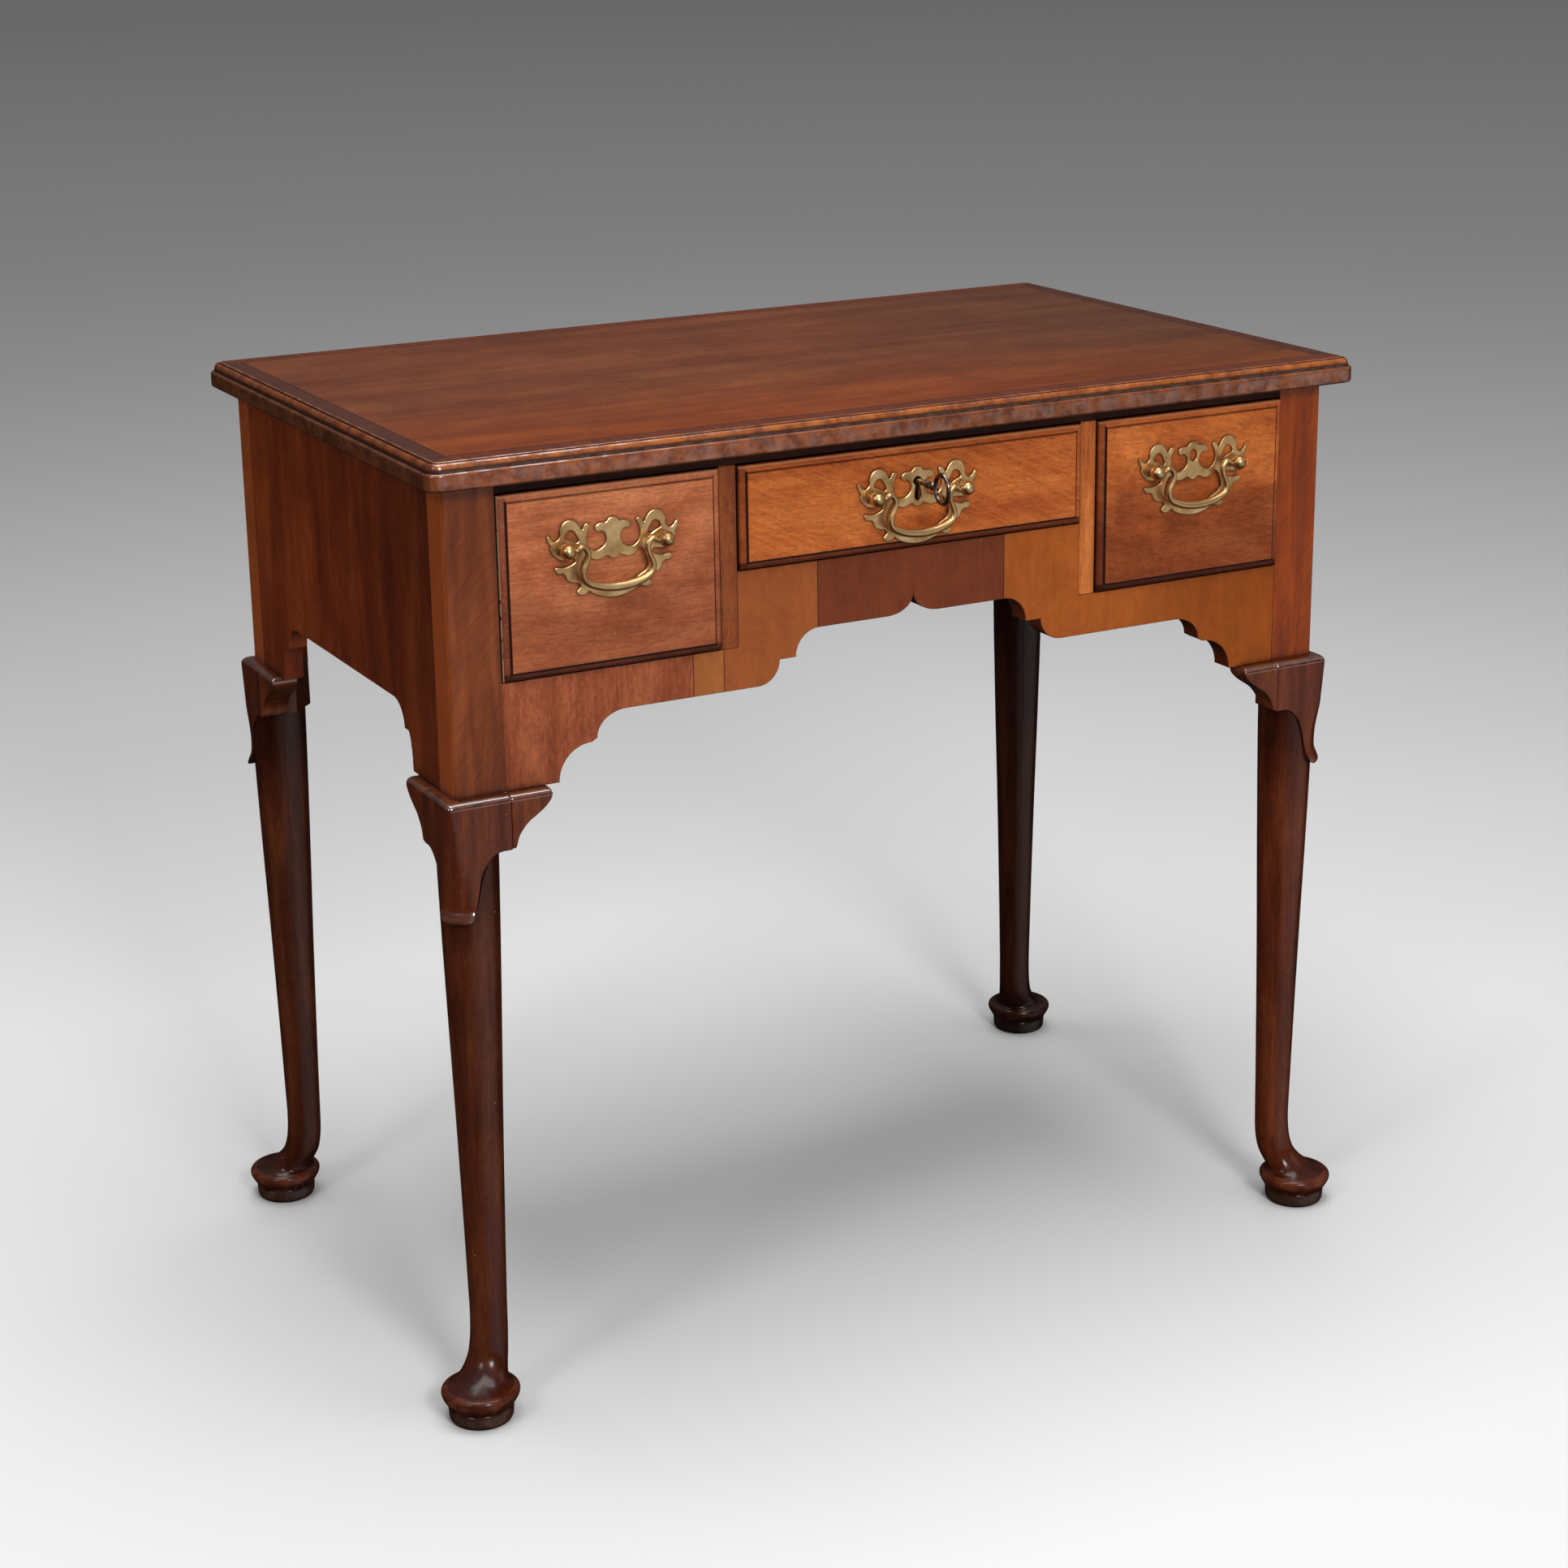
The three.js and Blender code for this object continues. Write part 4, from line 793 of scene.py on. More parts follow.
BRACKET_WOOD = wood("waxed_mahogany_bracket", ("#54220d", "#652e13", "#75391a"), ALONG_Z, (60, 12), seed=31,
                    roughness=0.17, gloss=0.32, detail=rubbed_ledge_painted_highlight, wax=waxed_knee)
DRAWER_WOOD = {
    "left": wood("waxed_mahogany_drawer_left", ("#b5653f", "#cb784e", "#dc8a5a"), ALONG_X, (80, 24), seed=41,
                 gloss=0.15, detail=drawer_face("left", 0.9, (0.62, 0.56, 0.54))),
    "middle": wood("waxed_mahogany_drawer_middle", ("#a64f22", "#ba5f29", "#ca6f34"), ALONG_X, (90, 20),
                   ripple=0.25, ripple_turn=math.radians(-28), seed=43, gloss=0.15,
                   detail=drawer_face("middle")),
    "right": wood("waxed_mahogany_drawer_right", ("#b35826", "#c8692f", "#d8793b"), ALONG_X, (70, 34), seed=47,
                  ripple=0.15, ripple_turn=math.radians(-20), gloss=0.15,
                  detail=drawer_face("right", 0.0, (0.44, 0.38, 0.44))),
}
OAK = {turn: wood("planed_oak_" + label, ("#8a6239", "#a97c4b", "#bd9361"), turn, (150, 9), roughness=0.62,
                  specks=0.2, pores=0.5, seed=53)
       for turn, label in ((ALONG_X, "across"), (ALONG_Y, "deep"))}
PINE = wood("planed_pine", ("#a07b4c", "#bd9460", "#cfaa78"), ALONG_X, (400, 11), roughness=0.66,
            specks=0.2, pores=0.1, seed=59)
BRASS = cast_brass("cast_brass")
STEEL = worn_steel("worn_steel")


# Top board

def top_ring(inset, z):
    """The top's edge drawn in by an inset, with round corners."""
    radius = TOP_CORNER - inset
    half = TOP_HALF_X - TOP_CORNER
    back, front = TOP_BACK - TOP_CORNER, TOP_FRONT + TOP_CORNER
    corners = [(half, back), (-half, back), (-half, front), (half, front)]
    return [(x, y, z) for i, (cx, cy) in enumerate(corners)
            for x, y in arc(cx, cy, radius, radius, i, i + 1, 12)]


def make_top():
    """A square edge with eased arrises, a quirk, an ovolo, and a fine second quirk before the flat."""
    quirk = TOP_Z - OVOLO_RISE
    roll_top = TOP_Z - 0.9
    roll_end = RIDGE_INSET - 2.2
    ease = arc(TOP_ARRIS, TOP_ARRIS, TOP_ARRIS, TOP_ARRIS, 3, 2, 6)
    profile = [(inset, UNDER_TOP + rise) for inset, rise in ease]
    profile += [(inset, quirk - rise) for inset, rise in reversed(ease)]
    profile += [(QUIRK_INSET, quirk - 0.5)]
    profile += arc(roll_end, quirk, roll_end - QUIRK_INSET, roll_top - quirk, 2, 1, 10)
    profile += [(roll_end + 0.8, roll_top - 0.8), (roll_end + 1.4, roll_top - 0.8)]
    profile += arc(RIDGE_INSET + 0.4, TOP_Z - 1.1, 1.1, 1.1, 2, 1, 5)
    finished("top_with_moulded_edge", skin([top_ring(inset, z) for inset, z in profile]), "top_board",
             TOP_WOOD, smooth=40)


# Legs, drawn in the quarter at the back right and mirrored

FOOT_SHARES = [(0.815, 0.03, 0.01), (0.685, 0.1, 0.03), (0.58, 0.22, 0.07), (0.487, 0.45, 0.16), (0.42, 0.7, 0.3),
               (0.379, 0.88, 0.485), (0.353, 0.97, 0.7), (0.337, 1, 0.875), (0.321, 1, 0.96), (0.3, 1, 1),
               (0.263, 1, 0.975), (0.21, 1, 0.84)]
PAD_SHARES = [(0.168, 1, 0.715), (0.155, 1, 0.62), (0.15, 1, 0.6), (0.145, 1, 0.61), (0.137, 1, 0.65),
              (0.112, 1, 0.675), (0.04, 1, 0.65), (0.013, 1, 0.585), (0, 1, 0.48)]
SHAFT_SHARES = [(1, 1), (0.89, 0.92), (0.67, 0.69), (0.45, 0.42), (0.23, 0.19), (0.07, 0.05), (0, 0)]
LAPPET_SHARES = [(0, 0, 0.45), (0.45, 0.02, 0.85), (0.72, 0.25, 1), (0.87, 0.75, 1), (0.95, 1, 1), (1, 0.7, 1)]
CURTAIN_SHARES = [(1.03, 0), (0.9, 0.035), (0.79, 0.1), (0.7, 0.18), (0.64, 0.27), (0.565, 0.48), (0.5, 0.7),
                  (0.44, 0.84), (0.37, 0.93), (0.28, 0.98), (0.165, 1)]
BRACKET_SHARES = [(0, 0.02), (0.08, 0.03), (0.17, 0.23), (0.38, 0.44), (0.6, 0.56), (0.81, 0.68), (0.95, 0.8),
                  (1, 0.9), (0.97, 1)]


def shaft():
    """The tapering shaft, its ankle, and the offset pad on its disc."""
    top = KNEE_UNDER + KNEE_ROLL
    rows = [(ANKLE_HEIGHT + (top - ANKLE_HEIGHT) * up, 0.0,
             ANKLE_RADIUS + (SHAFT_TOP_RADIUS - ANKLE_RADIUS) * taper) for up, taper in SHAFT_SHARES]
    foot, pad = ([(ANKLE_HEIGHT * up, FOOT_OFFSET * out, ANKLE_RADIUS + (FOOT_RADIUS - ANKLE_RADIUS) * swell)
                  for up, out, swell in shares] for shares in (FOOT_SHARES, PAD_SHARES))
    bm = bmesh.new()
    loops = []
    for z, out, radius in flowing(rows + foot + pad[:1]) + pad[1:]:
        place = Matrix.Translation((HALF_CASE - AXIS_INSET + out, HALF_DEPTH - AXIS_INSET + out, z))
        loops.append(circle(bm, radius, place, 64)[1])
    return bridged(bm, loops)


def curtain_edge():
    """The knee block's lower edge, down to the lappet's end: how far in from the case's corner, and how high."""
    return [(POST_WIDTH * inset - KNEE_PROUD, KNEE_UNDER - LAPPET_LENGTH * down)
            for inset, down in flowing(CURTAIN_SHARES)]


def from_corner_post(line, front=0.0, side=0.0):
    """Bars of one outline, counted in from the case's corner: towards the back from the front, and across."""
    return [facing_front(board([[(HALF_CASE - u, v) for u, v in line]], front, FAR)),
            facing_side(board([[(HALF_DEPTH - u, v) for u, v in line]], side, FAR))]


def undercut_shaft():
    """The shaft with the dark line that the carver cut under the knee block's lower edge."""
    edge = curtain_edge()
    line = edge + [(u + GROOVE_WIDTH / 2, v - GROOVE_WIDTH) for u, v in reversed(edge)]
    bottom = KNEE_PROUD - GROOVE_DEPTH
    return combined(shaft(), from_corner_post(line, HALF_DEPTH + bottom, HALF_CASE + bottom))


def knee_ring(z, reach, radius):
    """A section of the knee: square, with its outer corner rounded, reaching past the case's corner."""
    outer_x, outer_y = HALF_CASE + reach, HALF_DEPTH + reach
    corner = arc(outer_x - radius, outer_y - radius, radius, radius, 0, 1, 16)
    inner_y = HALF_DEPTH - POST_DEPTH
    inner = [(OPENING_SIDE, outer_y), (OPENING_SIDE, inner_y + POST_INNER_CHAMFER),
             (OPENING_SIDE + POST_INNER_CHAMFER, inner_y), (outer_x, inner_y)]
    return [(x, y, z) for x, y in corner + inner]


def knee():
    """The block with its rolled top edge, and the lappet that its corner runs down into."""
    roll = [knee_ring(LEDGE - KNEE_ROLL + up, KNEE_PROUD - KNEE_ROLL + out, KNEE_CORNER)
            for out, up in arc(0, 0, KNEE_ROLL, KNEE_ROLL, 1, 0, 8)]
    tongue = []
    for down, flare_share, round_share in flowing(LAPPET_SHARES, 6):
        flare = LAPPET_FLARE * flare_share
        tongue.append(knee_ring(KNEE_UNDER - LAPPET_LENGTH * down, KNEE_PROUD + flare,
                                (KNEE_SHELL + flare) * round_share))
    edge = curtain_edge()
    outer, inner, over = -KNEE_PROUD - LAPPET_FLARE - 2, POST_WIDTH + 2, LEDGE + 2
    curtain = [(inner, KNEE_UNDER), *edge, (outer, edge[-1][1]), (outer, over), (inner, over)]
    return hand_rounded(combined(skin(roll + tongue), from_corner_post(curtain), "INTERSECT"))


def post():
    """The square post, its inner corner planed off, notched where the side board laps it."""
    inner_x, inner_y = OPENING_SIDE, HALF_DEPTH - POST_DEPTH
    notch_x, notch_y = HALF_CASE - SIDE_THICKNESS, HALF_DEPTH - POST_REVEAL
    worn = arc(HALF_CASE - POST_ARRIS, HALF_DEPTH - POST_ARRIS, POST_ARRIS, POST_ARRIS, 0, 1, 6)
    plan = [(inner_x, inner_y + POST_INNER_CHAMFER), (inner_x + POST_INNER_CHAMFER, inner_y), (notch_x, inner_y),
            (notch_x, notch_y), (HALF_CASE, notch_y), *worn, (inner_x, HALF_DEPTH)]
    return board([plan], LEDGE - KNEE_ROLL, UNDER_TOP, 0.3)


def bracket(along_front):
    """A shaped ear beside the knee block, with the same rolled top edge."""
    near, half = (OPENING_SIDE, HALF_DEPTH) if along_front else (HALF_DEPTH - POST_DEPTH, HALF_CASE)
    shape = [(BRACKET_REACH * out, KNEE_UNDER + KNEE_HEIGHT * up) for out, up in flowing(BRACKET_SHARES)]
    outline = [(near - out, z) for out, z in shape] + [(near, LEDGE)]
    inner, outer = half + KNEE_PROUD - BRACKET_THICKNESS, half + KNEE_PROUD
    roll = arc(outer - KNEE_ROLL, LEDGE - KNEE_ROLL, KNEE_ROLL, KNEE_ROLL, 0, 1, 8)
    section = [(inner, KNEE_UNDER - 2), (outer, KNEE_UNDER - 2), *roll, (inner, LEDGE)]
    lengthways, across = (facing_front, facing_side) if along_front else (facing_side, facing_front)
    return hand_rounded(combined(lengthways(board([outline], 0, FAR)), [across(board([section], 0, FAR))],
                                 "INTERSECT"), BRACKET_GRAIN)


def make_legs():
    leg = combined(post(), [knee(), undercut_shaft()], "UNION")
    along_front, along_side = bracket(True), bracket(False)
    for side, sx in (("left", -1), ("right", 1)):
        finished(f"front_ear_{side}", mirrored(along_front, sx, -1), f"knee_bracket_{side}_front",
                 BRACKET_WOOD)
        for end, sy in (("front", -1), ("back", 1)):
            finished(f"turned_leg_{side}_{end}", mirrored(leg, sx, sy), f"leg_{side}_{end}",
                     LEG_WOOD)
            finished(f"side_ear_{side}_{end}", mirrored(along_side, sx, sy),
                     f"knee_bracket_{side}_side_{end}", BRACKET_WOOD)


# Case

def apron_arch_half():
    """The shaped lower edge from its right foot to the middle: foot, cusp, hollow, lobe and crown."""
    foot_x = HALF_CASE - 80.5
    cusp_x, cusp_z = foot_x - 30.5, LEDGE + 28.5
    foot, cusp, hollow, lobe, crown, crown_drop = 26, 23.5, 18, 19.5, 22, 15.5
    hollow_x, lobe_x = 131, 80
    lobe_z, crown_z = APRON_EDGE + hollow, APRON_EDGE + 38
    return [*arc(foot_x - foot, LEDGE, foot, foot, 0, 1),
            *arc(cusp_x - cusp, cusp_z, cusp, APRON_EDGE - cusp_z, 0, 1),
            *arc(hollow_x, lobe_z, hollow, hollow, 3, 2), *arc(lobe_x, lobe_z, lobe, crown_z - lobe_z, 0, 1),
            *arc(crown, crown_z + crown_drop, crown, crown_drop, 3, 2)]


def make_apron():
    right = apron_arch_half()
    outline = [(OPENING_SIDE, LEDGE), *right, *other_side(right), (-OPENING_SIDE, LEDGE),
               (-OPENING_SIDE, SIDE_SILL), (-MIDDLE_HALF, SIDE_SILL), (-MIDDLE_HALF, MIDDLE_SILL),
               (MIDDLE_HALF, MIDDLE_SILL), (MIDDLE_HALF, SIDE_SILL), (OPENING_SIDE, SIDE_SILL)]
    shape = facing_front(board([outline], -HALF_DEPTH, -HALF_DEPTH + APRON_THICKNESS, 0.6))
    finished("shaped_apron", shape, "front_apron", APRON_WOOD)


def make_sides():
    foot_y, end = HALF_DEPTH - 78, HALF_DEPTH - POST_REVEAL
    foot, foot_rise, lobe, lobe_in, crown_rise = 7, 29, 20.5, 34, 48
    back = [*arc(foot_y - foot, LEDGE, foot, foot_rise, 0, 1),
            *arc(foot_y - lobe_in, LEDGE + foot_rise, lobe, crown_rise - foot_rise, 0, 1)]
    front = [(-y, z) for y, z in reversed(back)]
    outline = [(end, LEDGE), *back, *front, (-end, LEDGE), (-end, UNDER_TOP), (end, UNDER_TOP)]
    for side, x0 in (("left", -HALF_CASE), ("right", HALF_CASE - SIDE_THICKNESS)):
        shape = facing_side(board([outline], x0, x0 + SIDE_THICKNESS, 0.5))
        finished(f"arched_side_{side}", shape, f"side_board_{side}", SIDE_WOOD)


def make_inner_boards():
    """The boards and runners that are plain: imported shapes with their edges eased."""
    finished("rail_over_drawers", softened("front_top_rail", 0.5), "front_top_rail", RAIL_WOOD)
    finished("rear_board", softened("back_board", 0.8), "back_board", OAK[ALONG_X])
    for side in ("left", "right"):
        finished(f"divider_{side}", softened(f"drawer_divider_{side}", 0.6), f"drawer_divider_{side}",
                 DIVIDER_WOOD[side])
        for kind in ("outer", "inner", "middle"):
            node = f"runner_{kind}_{side}"
            finished(f"worn_{node}", softened(node, 0.8), node, OAK[ALONG_Y])


# Drawers

def tail_outline(z):
    """A dovetail socket in Y and Z, wider at its front end."""
    half, front = TAIL_HALF + SEAT_GAP, FRONT_BACK - TAIL_LENGTH - SEAT_GAP
    spread = half + TAIL_SPREAD
    return [(FRONT_BACK + 1, z - half), (FRONT_BACK + 1, z + half), (front, z + spread), (front, z - spread)]


def drawer_front(name, cutters):
    """A slab with a thumb moulding all round its face, cut for its sides, bottom, bolts and lock."""
    low, high = (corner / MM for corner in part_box(f"drawer_{name}_front"))
    left_low, left_high = (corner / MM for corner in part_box(f"drawer_{name}_side_left"))
    quirk, flat = FACE + MOULD_QUIRK, MOULD_WIDTH - MOULD_QUIRK

    def outline(inset, y):
        return [(low.x + inset, y, low.z + inset), (high.x - inset, y, low.z + inset),
                (high.x - inset, y, high.z - inset), (low.x + inset, y, high.z - inset)]

    mould = [outline(inset, quirk + MOULD_RISE - rise) for inset, rise in arc(flat, 0, flat, MOULD_RISE, 2, 1, 12)]
    body = skin([outline(0, FRONT_BACK), *mould, outline(MOULD_WIDTH - 0.2, quirk + 0.1),
                 outline(MOULD_WIDTH, FACE + 0.25), outline(MOULD_WIDTH + 0.3, FACE)])
    count = max(1, int((left_high.z - left_low.z) // 30))
    step = (left_high.z - left_low.z) / count
    reach = left_high.x - low.x + SEAT_GAP
    sockets = [facing_side(board([tail_outline(left_low.z + step * (i + 0.5))], x0, x0 + reach + 2))
               for i in range(count) for x0 in (low.x - 2, high.x - reach)]
    bottom_low, bottom_high = (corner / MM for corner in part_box(f"drawer_{name}_bottom"))
    groove = block(bottom_low.x - SEAT_GAP, bottom_high.x + SEAT_GAP, FRONT_BACK - 3, FRONT_BACK + 1,
                   bottom_low.z - SEAT_GAP, bottom_high.z + SEAT_GAP)
    return combined(body, [*sockets, groove, *cutters])


def bores(x, z):
    """The two holes for a handle's bolts."""
    hole = turned([(0, FACE - 1), (BORE_RADIUS, FACE - 1), (BORE_RADIUS, FRONT_BACK + 1), (0, FRONT_BACK + 1)], 24)
    hole.transform(Matrix.Rotation(-math.pi / 2, 4, "X"))
    return [moved(hole.copy(), x + end * HALF_SPACING, 0, z) for end in (-1, 1)]


def keyhole(z):
    """A round top with a slot below it."""
    start = math.asin(KEYHOLE_HALF_SLOT / KEYHOLE_RADIUS) / (math.pi / 2)
    return [*arc(0, z, KEYHOLE_RADIUS, KEYHOLE_RADIUS, start - 1, 3 - start, 20),
            (-KEYHOLE_HALF_SLOT, z - KEYHOLE_DROP), (KEYHOLE_HALF_SLOT, z - KEYHOLE_DROP)]


def make_drawer(name, x, z):
    cutters = bores(x, z)
    if name == "middle":
        low, high = (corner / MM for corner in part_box("lock_case"))
        pocket = block(low.x - SEAT_GAP, high.x + SEAT_GAP, low.y - MIDDLE_Y - SEAT_GAP, FRONT_BACK + 1,
                       low.z - SEAT_GAP, high.z + 3)
        cutters += [facing_front(board([keyhole(z + KEY_RISE)], FACE - 1, FRONT_BACK - 5)), pocket]
    finished(f"moulded_front_{name}", drawer_front(name, cutters), f"drawer_{name}_front",
             DRAWER_WOOD[name], smooth=25)
    for part, timber, slot in (("side_left", OAK[ALONG_Y], "oak"), ("side_right", OAK[ALONG_Y], "oak"),
                               ("back", OAK[ALONG_X], "oak"), ("bottom", PINE, "pine")):
        node = f"drawer_{name}_{part}"
        finished(f"lining_{name}_{part}", softened(node, 0.4), node, timber)


# Handles

PLATE_SHARES = [(0, 0.51), (0.08, 0.49), (0.14, 0.43), (0.22, 0.425), (0.3, 0.41), (0.36, 0.35), (0.355, 0.29),
                (0.3, 0.255), (0.245, 0.265), (0.19, 0.235), (0.15, 0.16), (0.15, 0.075), (0.18, 0.01),
                (0.235, -0.04), (0.3, -0.075), (0.37, -0.085), (0.435, -0.06), (0.5, 0), (0.535, 0.075),
                (0.545, 0.17), (0.525, 0.265), (0.49, 0.34), (0.465, 0.4), (0.495, 0.44), (0.56, 0.435),
                (0.6, 0.38), (0.625, 0.345), (0.66, 0.395), (0.72, 0.48), (0.8, 0.535), (0.89, 0.545),
                (0.98, 0.51), (1.04, 0.44), (1.07, 0.355), (1.07, 0.275), (1.1, 0.22), (1.165, 0.185),
                (1.22, 0.21), (1.27, 0.275), (1.31, 0.295), (1.33, 0.235), (1.295, 0.145), (1.265, 0.09),
                (1.275, 0.02), (1.24, -0.05), (1.185, -0.12), (1.105, -0.175), (1.01, -0.2), (0.89, -0.19),
                (0.8, -0.195), (0.78, -0.235), (0.83, -0.28), (0.92, -0.315), (1.015, -0.33), (1.105, -0.315),
                (1.185, -0.33), (1.18, -0.385), (1.125, -0.44), (1.04, -0.45), (0.99, -0.49), (0.96, -0.57),
                (0.885, -0.63), (0.79, -0.65), (0.71, -0.675), (0.69, -0.72), (0.725, -0.765), (0.77, -0.83),
                (0.725, -0.88), (0.645, -0.9), (0.57, -0.875), (0.51, -0.84), (0.465, -0.88), (0.26, -0.97),
                (0, -1.01)]
OPENING_SHARES = [(0, -0.28), (0.07, -0.26), (0.12, -0.215), (0.185, -0.23), (0.265, -0.26), (0.37, -0.265),
                  (0.46, -0.22), (0.53, -0.145), (0.62, -0.21), (0.675, -0.33), (0.695, -0.46), (0.645, -0.565),
                  (0.54, -0.63), (0.395, -0.715), (0.21, -0.8), (0, -0.835)]
LOOP_SHARES = [(0.85, 0.345), (0.91, 0.33), (0.955, 0.28), (0.965, 0.215), (0.895, 0.175), (0.825, 0.14),
               (0.755, 0.105), (0.705, 0.13), (0.72, 0.2), (0.765, 0.28), (0.8, 0.325)]
BAIL_SHARES = [(0.917, 0), (0.83, 0), (0.79, 0.02), (0.745, 0.06), (0.68, 0.05), (0.615, -0.03), (0.6, -0.12),
               (0.635, -0.24), (0.69, -0.36), (0.71, -0.46), (0.675, -0.57), (0.56, -0.655), (0.38, -0.72),
               (0.18, -0.755), (0, -0.765)]


def both_halves(shares):
    """A whole outline from its right half, in millimetres."""
    right = [(u * HALF_SPACING, v * HALF_SPACING) for u, v in shares]
    return right + [(-u, v) for u, v in reversed(right[1:-1])]


def backplate(extra):
    """A sheet of brass, pierced, its edges filed to a bevel."""
    loops = [[(flip * u * HALF_SPACING, v * HALF_SPACING) for u, v in LOOP_SHARES] for flip in (1, -1)]
    holes = [arc(end * HALF_SPACING, 0, BORE_RADIUS, BORE_RADIUS, 0, 4, 16)[:-1] for end in (-1, 1)]
    outlines = [both_halves(PLATE_SHARES), both_halves(OPENING_SHARES), *loops, *holes, *extra]
    return facing_front(board(outlines, PLATE_FACE, FACE, PLATE_EDGE, rounded=True, steps=1))


def ball_post(inwards):
    """A bolt with a collar and a round head, drilled for the bail."""
    collar = [(4.6, 0), (4.9, 0.7), (4.6, 1.4)]
    nose = arc(0, BALL_STAND_OFF, BALL_RADIUS, BALL_RADIUS, -0.72, 1, 16)
    tail = PLATE_FACE - FRONT_BACK - 5
    head = turned([(0, tail), (STEM_RADIUS, tail), (STEM_RADIUS, 0), *collar, *nose[:-1],
                   (0, BALL_STAND_OFF + BALL_RADIUS)], 40)
    head.transform(Matrix.Rotation(math.pi / 2, 4, "X"))
    drill = turned([(0, 0), (SOCKET_RADIUS, 0), (SOCKET_RADIUS, SOCKET_DEPTH + 3), (0, SOCKET_DEPTH + 3)], 20)
    drill.transform(Matrix.Rotation(math.pi / 2, 4, "Y"))
    moved(drill, BALL_RADIUS - SOCKET_DEPTH, -BALL_STAND_OFF, 0)
    drill = mirrored(drill, inwards, 1) if inwards < 0 else drill
    return combined(head, [drill])


def bail():
    """The swan-neck bail, thickest in the middle of its grip."""
    right = [(u * HALF_SPACING, v * HALF_SPACING) for u, v in BAIL_SHARES]
    line = flowing(right + other_side(right), 4)
    curve = bpy.data.curves.new("work", "CURVE")
    curve.dimensions = "3D"
    curve.bevel_depth = 1.0
    curve.bevel_resolution = 6
    curve.use_fill_caps = True
    spline = curve.splines.new("POLY")
    spline.points.add(len(line) - 1)
    for i, (knot, (u, v)) in enumerate(zip(spline.points, line)):
        knot.co = (u, 0, v, 1)
        knot.radius = bail_radius(i / (len(line) - 1))
    return closed(evaluated(temporary(curve)), CURVE_GAP)


def bail_radius(t):
    """A slim pintle, a neck, and a grip that swells to its middle."""
    from_end = min(t, 1 - t) * 2
    neck, grip = (min(max((from_end - a) / (b - a), 0), 1) for a, b in ((0.08, 0.2), (0.55, 1)))
    neck, grip = (s * s * (3 - 2 * s) for s in (neck, grip))
    return 1.7 + 0.6 * neck + 1.0 * grip


def make_handle(name, x, z, extra):
    finished(f"pierced_plate_{name}", moved(backplate(extra), x, 0, z), f"backplate_{name}", BRASS,
             smooth=20)
    finished(f"swan_neck_bail_{name}", moved(bail(), x, PLATE_FACE - BALL_STAND_OFF, z), f"bail_{name}",
             BRASS, smooth=60)
    for side, end in (("left", -1), ("right", 1)):
        finished(f"ball_post_{name}_{side}", moved(ball_post(-end), x + end * HALF_SPACING, PLATE_FACE, z),
                 f"handle_post_{name}_{side}", BRASS)
        node = f"handle_nut_{name}_{side}"
        finished(f"square_nut_{name}_{side}", softened(node, 0.5), node, BRASS)


def make_key(z):
    """A key with a ring bow, collars on its shank and a stepped bit."""
    low, high = (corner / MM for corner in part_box("key"))
    near, tip = low.y - MIDDLE_Y + BOX_SLACK, high.y - MIDDLE_Y
    bow_half, wire = 11, 1.7
    start = near + 2 * bow_half - wire
    collars = [(2.3, start + 1), (3.2, start + 2), (3.4, start + 3), (2.4, start + 4.5), (2.3, start + 9),
               (3.1, start + 9.6), (3.1, start + 11), (2.3, start + 11.6)]
    profile = [(0, start), (2.0, start), *collars, (2.3, tip - 0.4), (1.9, tip), (0, tip)]
    shank = turned(profile, 32)
    shank.transform(Matrix.Rotation(-math.pi / 2, 4, "X"))
    bow = turned_ring(bow_half - wire, wire)
    moved(bow, 0, near + bow_half, 0)
    bit = block(-1.1, 1.1, tip - 4, tip, -7.6, 0, 0.25)
    notch = block(-2, 2, tip - 2.6, tip - 1.4, -9, -5.2)
    key = combined(shank, [bow, combined(bit, [notch])], "UNION")
    finished("ring_bow_key", moved(key, 0, 0, z), "key", STEEL)


def turned_ring(radius, wire):
    """A ring of round wire standing in the YZ plane, a little taller than it is deep."""
    bm = bmesh.new()
    place = Matrix.Translation((radius, 0, 0)) @ Matrix.Rotation(math.pi / 2, 4, "X")
    section, edges = circle(bm, wire, place, 16)
    spun(bm, section + edges)
    bm.transform(Matrix.Rotation(math.pi / 2, 4, "Y"))
    bmesh.ops.scale(bm, vec=(1, 1, 1.12), verts=bm.verts)
    return bm


def make_lock():
    finished("lock_shell", softened("lock_case", 0.25), "lock_case", BRASS)
    finished("sliding_bolt", softened("lock_bolt", 0.4), "lock_bolt", STEEL)


def handle_place(name):
    """Where the bail's pintles lie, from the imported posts."""
    low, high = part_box(f"handle_post_{name}_left")
    _, right_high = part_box(f"handle_post_{name}_right")
    return (low.x + right_high.x) / 2 / MM, (low.z + high.z) / 2 / MM


# The middle plate has the keyhole, and the right one an oval hole in its place
PIERCINGS = {"left": [], "middle": [keyhole(KEY_RISE)],
             "right": [arc(0, KEY_RISE, KEYHOLE_RADIUS, 4.7, 0, 4, 16)[:-1]]}

make_top()
make_legs()
make_apron()
make_sides()
make_inner_boards()
for label in ("left", "middle", "right"):
    place_x, place_z = handle_place(label)
    make_drawer(label, place_x, place_z)
    make_handle(label, place_x, place_z, PIERCINGS[label])
make_key(handle_place("middle")[1] + KEY_RISE)
make_lock()


# Studio

WALL_LIGHT = 0.72
FLOOR_HALF = 20
FLOOR_FADE = 16
FRONT_RIGHT = (0.46, -0.89, 0)


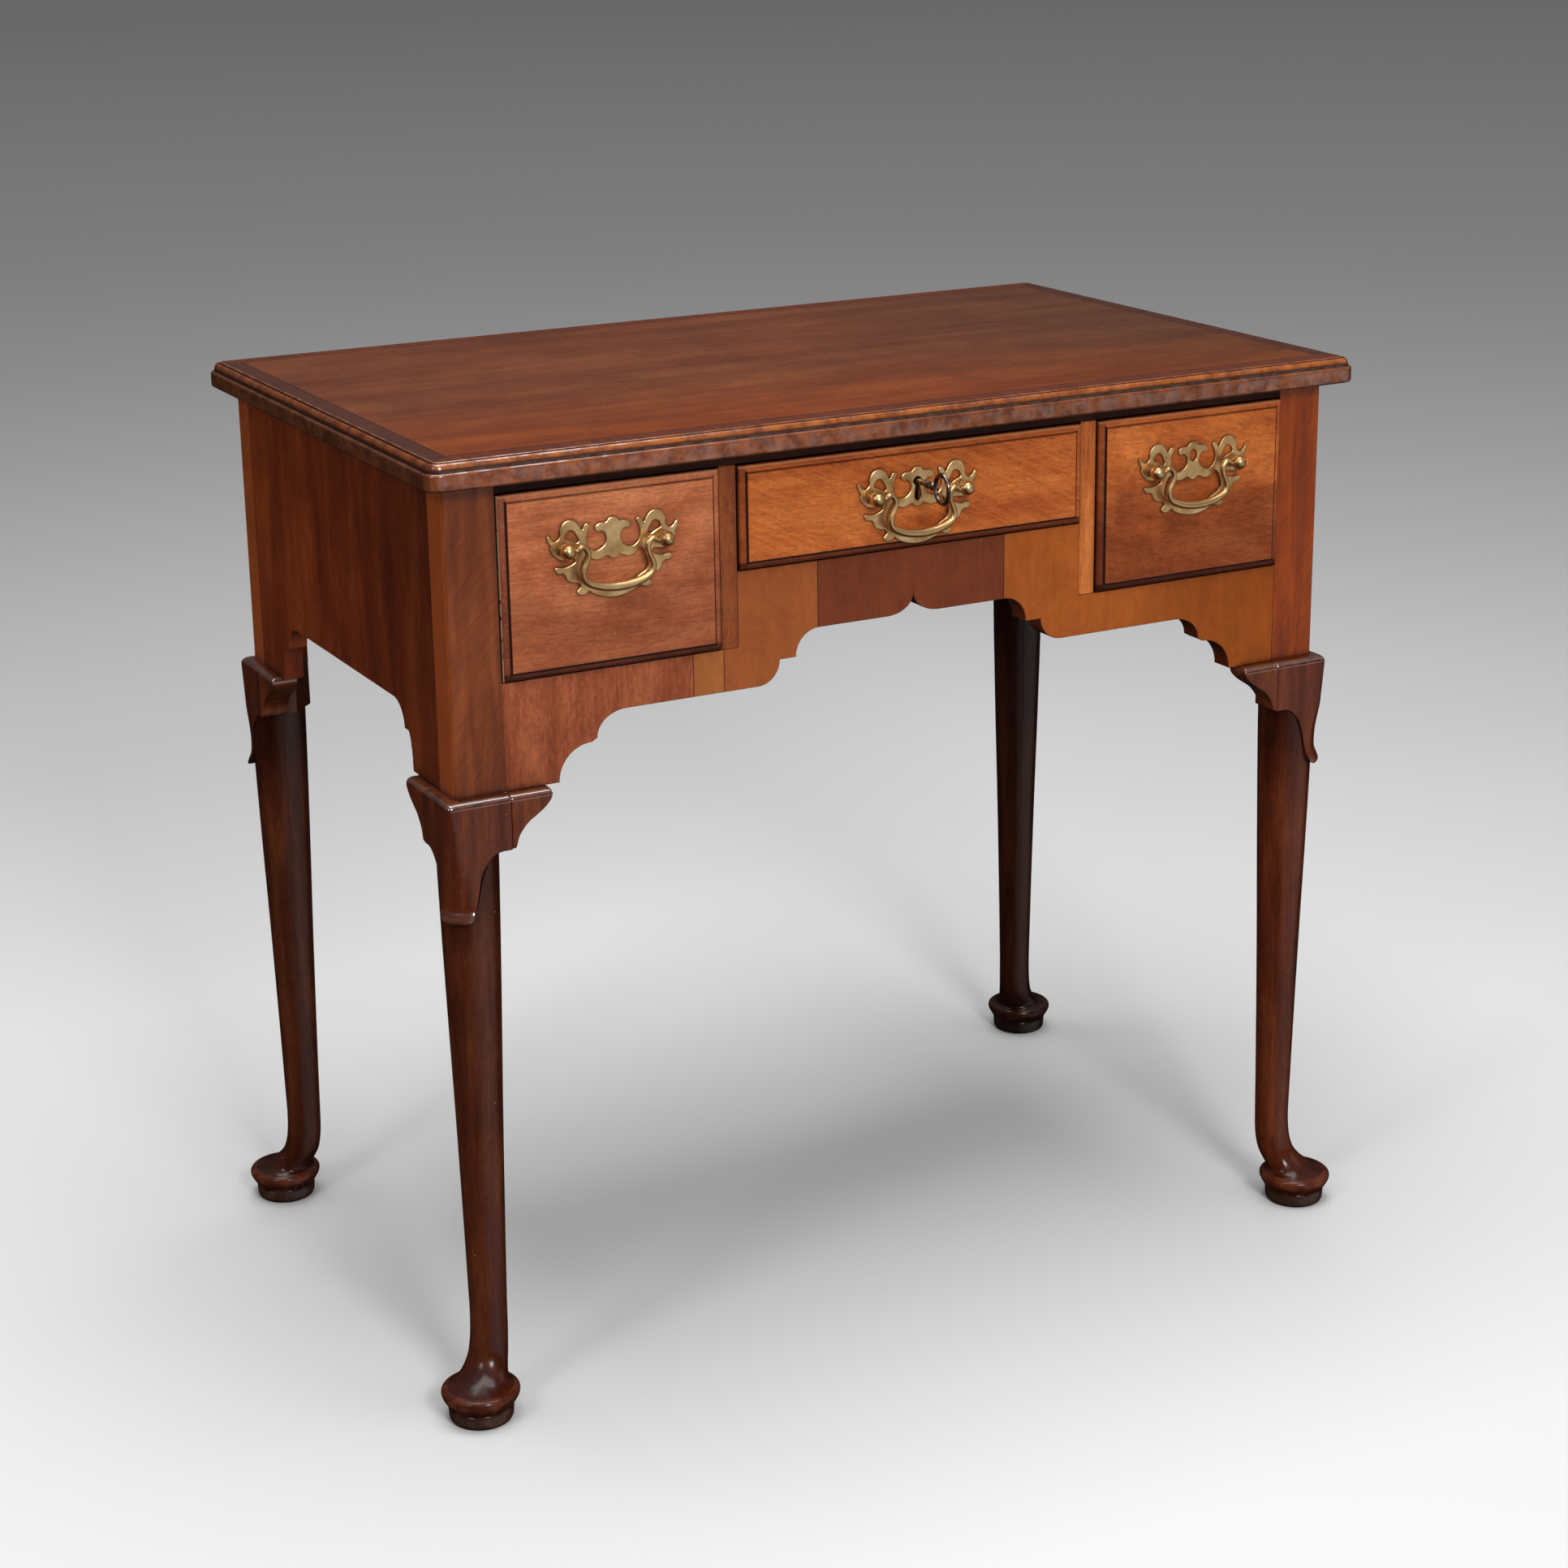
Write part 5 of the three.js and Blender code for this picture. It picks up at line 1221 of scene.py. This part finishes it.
def make_floor():
    """A wide pale floor, lightest about the piece, that falls away to grey: a painted falloff of light."""
    bm = bmesh.new()
    bmesh.ops.create_grid(bm, x_segments=8, y_segments=8, size=2 * FLOOR_HALF)
    mesh = mesh_of(bm)
    floor = bpy.data.objects.new("studio_floor", mesh)
    bpy.context.scene.collection.objects.link(floor)
    material, tree, metric = new_finish("painted_studio_floor")
    flat = add(tree, "VectorMath", {0: metric, 1: (MM, MM, 0)}, operation="MULTIPLY")
    distance = add(tree, "VectorMath", {0: flat}, output="Value", operation="LENGTH")
    # Painted light: the floor is lightest near the piece and falls away to grey far off.
    tone = add(tree, "MapRange", {0: distance, 2: FLOOR_FADE})
    colour = add(tree, "ValToRGB", {0: tone}, stops=[(0.0, "#eeeeee"), (0.06, "#ebebeb"), (0.15, "#e2e2e2"),
                                                     (0.5, "#dddddd"), (1.0, "#c8c8c8")])
    shader = tree.nodes["Principled BSDF"]
    tree.links.new(colour, shader.inputs["Base Color"])
    shader.inputs["Roughness"].default_value = 0.9
    mesh.materials.append(material)
    # Polished wood mirrors the dark walls here, and not the floor
    floor.visible_glossy = False


def softbox(name, place, aim, size, power):
    light = bpy.data.lights.new(name, "AREA")
    light.shape = "RECTANGLE"
    light.size, light.size_y = size
    light.energy = power
    lamp = bpy.data.objects.new(name, light)
    lamp.location = place
    lamp.rotation_euler = (Vector(aim) - Vector(place)).to_track_quat("-Z", "Y").to_euler()
    bpy.context.scene.collection.objects.link(lamp)


def make_world():
    """Grey studio walls, dark low down and behind, light overhead, with a pale floor in front for the brass."""
    world = bpy.data.worlds.new("studio")
    world.use_nodes = True
    tree = world.node_tree
    direction = add(tree, "TexCoord", {}, output="Generated")
    height = add(tree, "SeparateXYZ", {0: direction}, output=2)
    walls = add(tree, "ValToRGB", {0: height}, stops=[(0.0, "#3c3c3c"), (0.45, "#6a6a6a"), (0.8, "#b4b4b4")])
    towards = add(tree, "VectorMath", {0: direction, 1: FRONT_RIGHT}, output="Value", operation="DOT_PRODUCT")
    ahead = add(tree, "MapRange", {0: towards, 1: 0.45, 2: 0.92})
    ground = add(tree, "ValToRGB", {0: ahead}, stops=[(0.0, "#202020"), (1.0, "#dcdcdc")])
    walls = stained(tree, walls, ground, height, 0.02, -0.02)
    tree.links.new(walls, tree.nodes["Background"].inputs["Color"])
    tree.nodes["Background"].inputs["Strength"].default_value = WALL_LIGHT
    bpy.context.scene.world = world


def make_camera():
    """The photograph's view: its place, turn, tilt and small roll, and the shift of its frame."""
    yaw, pitch, roll = 0.486428, 0.289183, -0.01428
    forward = Vector((math.sin(yaw) * math.cos(pitch), math.cos(yaw) * math.cos(pitch), -math.sin(pitch)))
    level = Vector((math.cos(yaw), -math.sin(yaw), 0))
    upright = level.cross(forward)
    right = math.cos(roll) * level + math.sin(roll) * upright
    up = -math.sin(roll) * level + math.cos(roll) * upright
    data = bpy.data.cameras.new("camera")
    data.lens = 69.359
    data.sensor_width = 36
    data.shift_y = -0.04807
    camera = bpy.data.objects.new("camera", data)
    turn = Matrix((right, up, -forward)).transposed().to_4x4()
    camera.matrix_world = Matrix.Translation((-1.103981, -2.08544, 1.139705)) @ turn
    bpy.context.scene.collection.objects.link(camera)
    bpy.context.scene.camera = camera


make_floor()
softbox("overhead_softbox", (-0.1, -0.15, 3.2), (-0.1, -0.15, 0), (2.1, 2.3), 70)
softbox("front_softbox", (-0.4, -3.4, 2.3), (0, 0, 0.4), (0.9, 0.8), 59)
softbox("left_softbox", (-2.2, -1.1, 2.0), (0, 0, 0.4), (0.5, 0.5), 9)
softbox("right_softbox", (3.2, -1.6, 2.2), (0, 0, 0.4), (1.8, 1.8), 5)
make_world()
bpy.context.scene.view_settings.view_transform = "Standard"
make_camera()
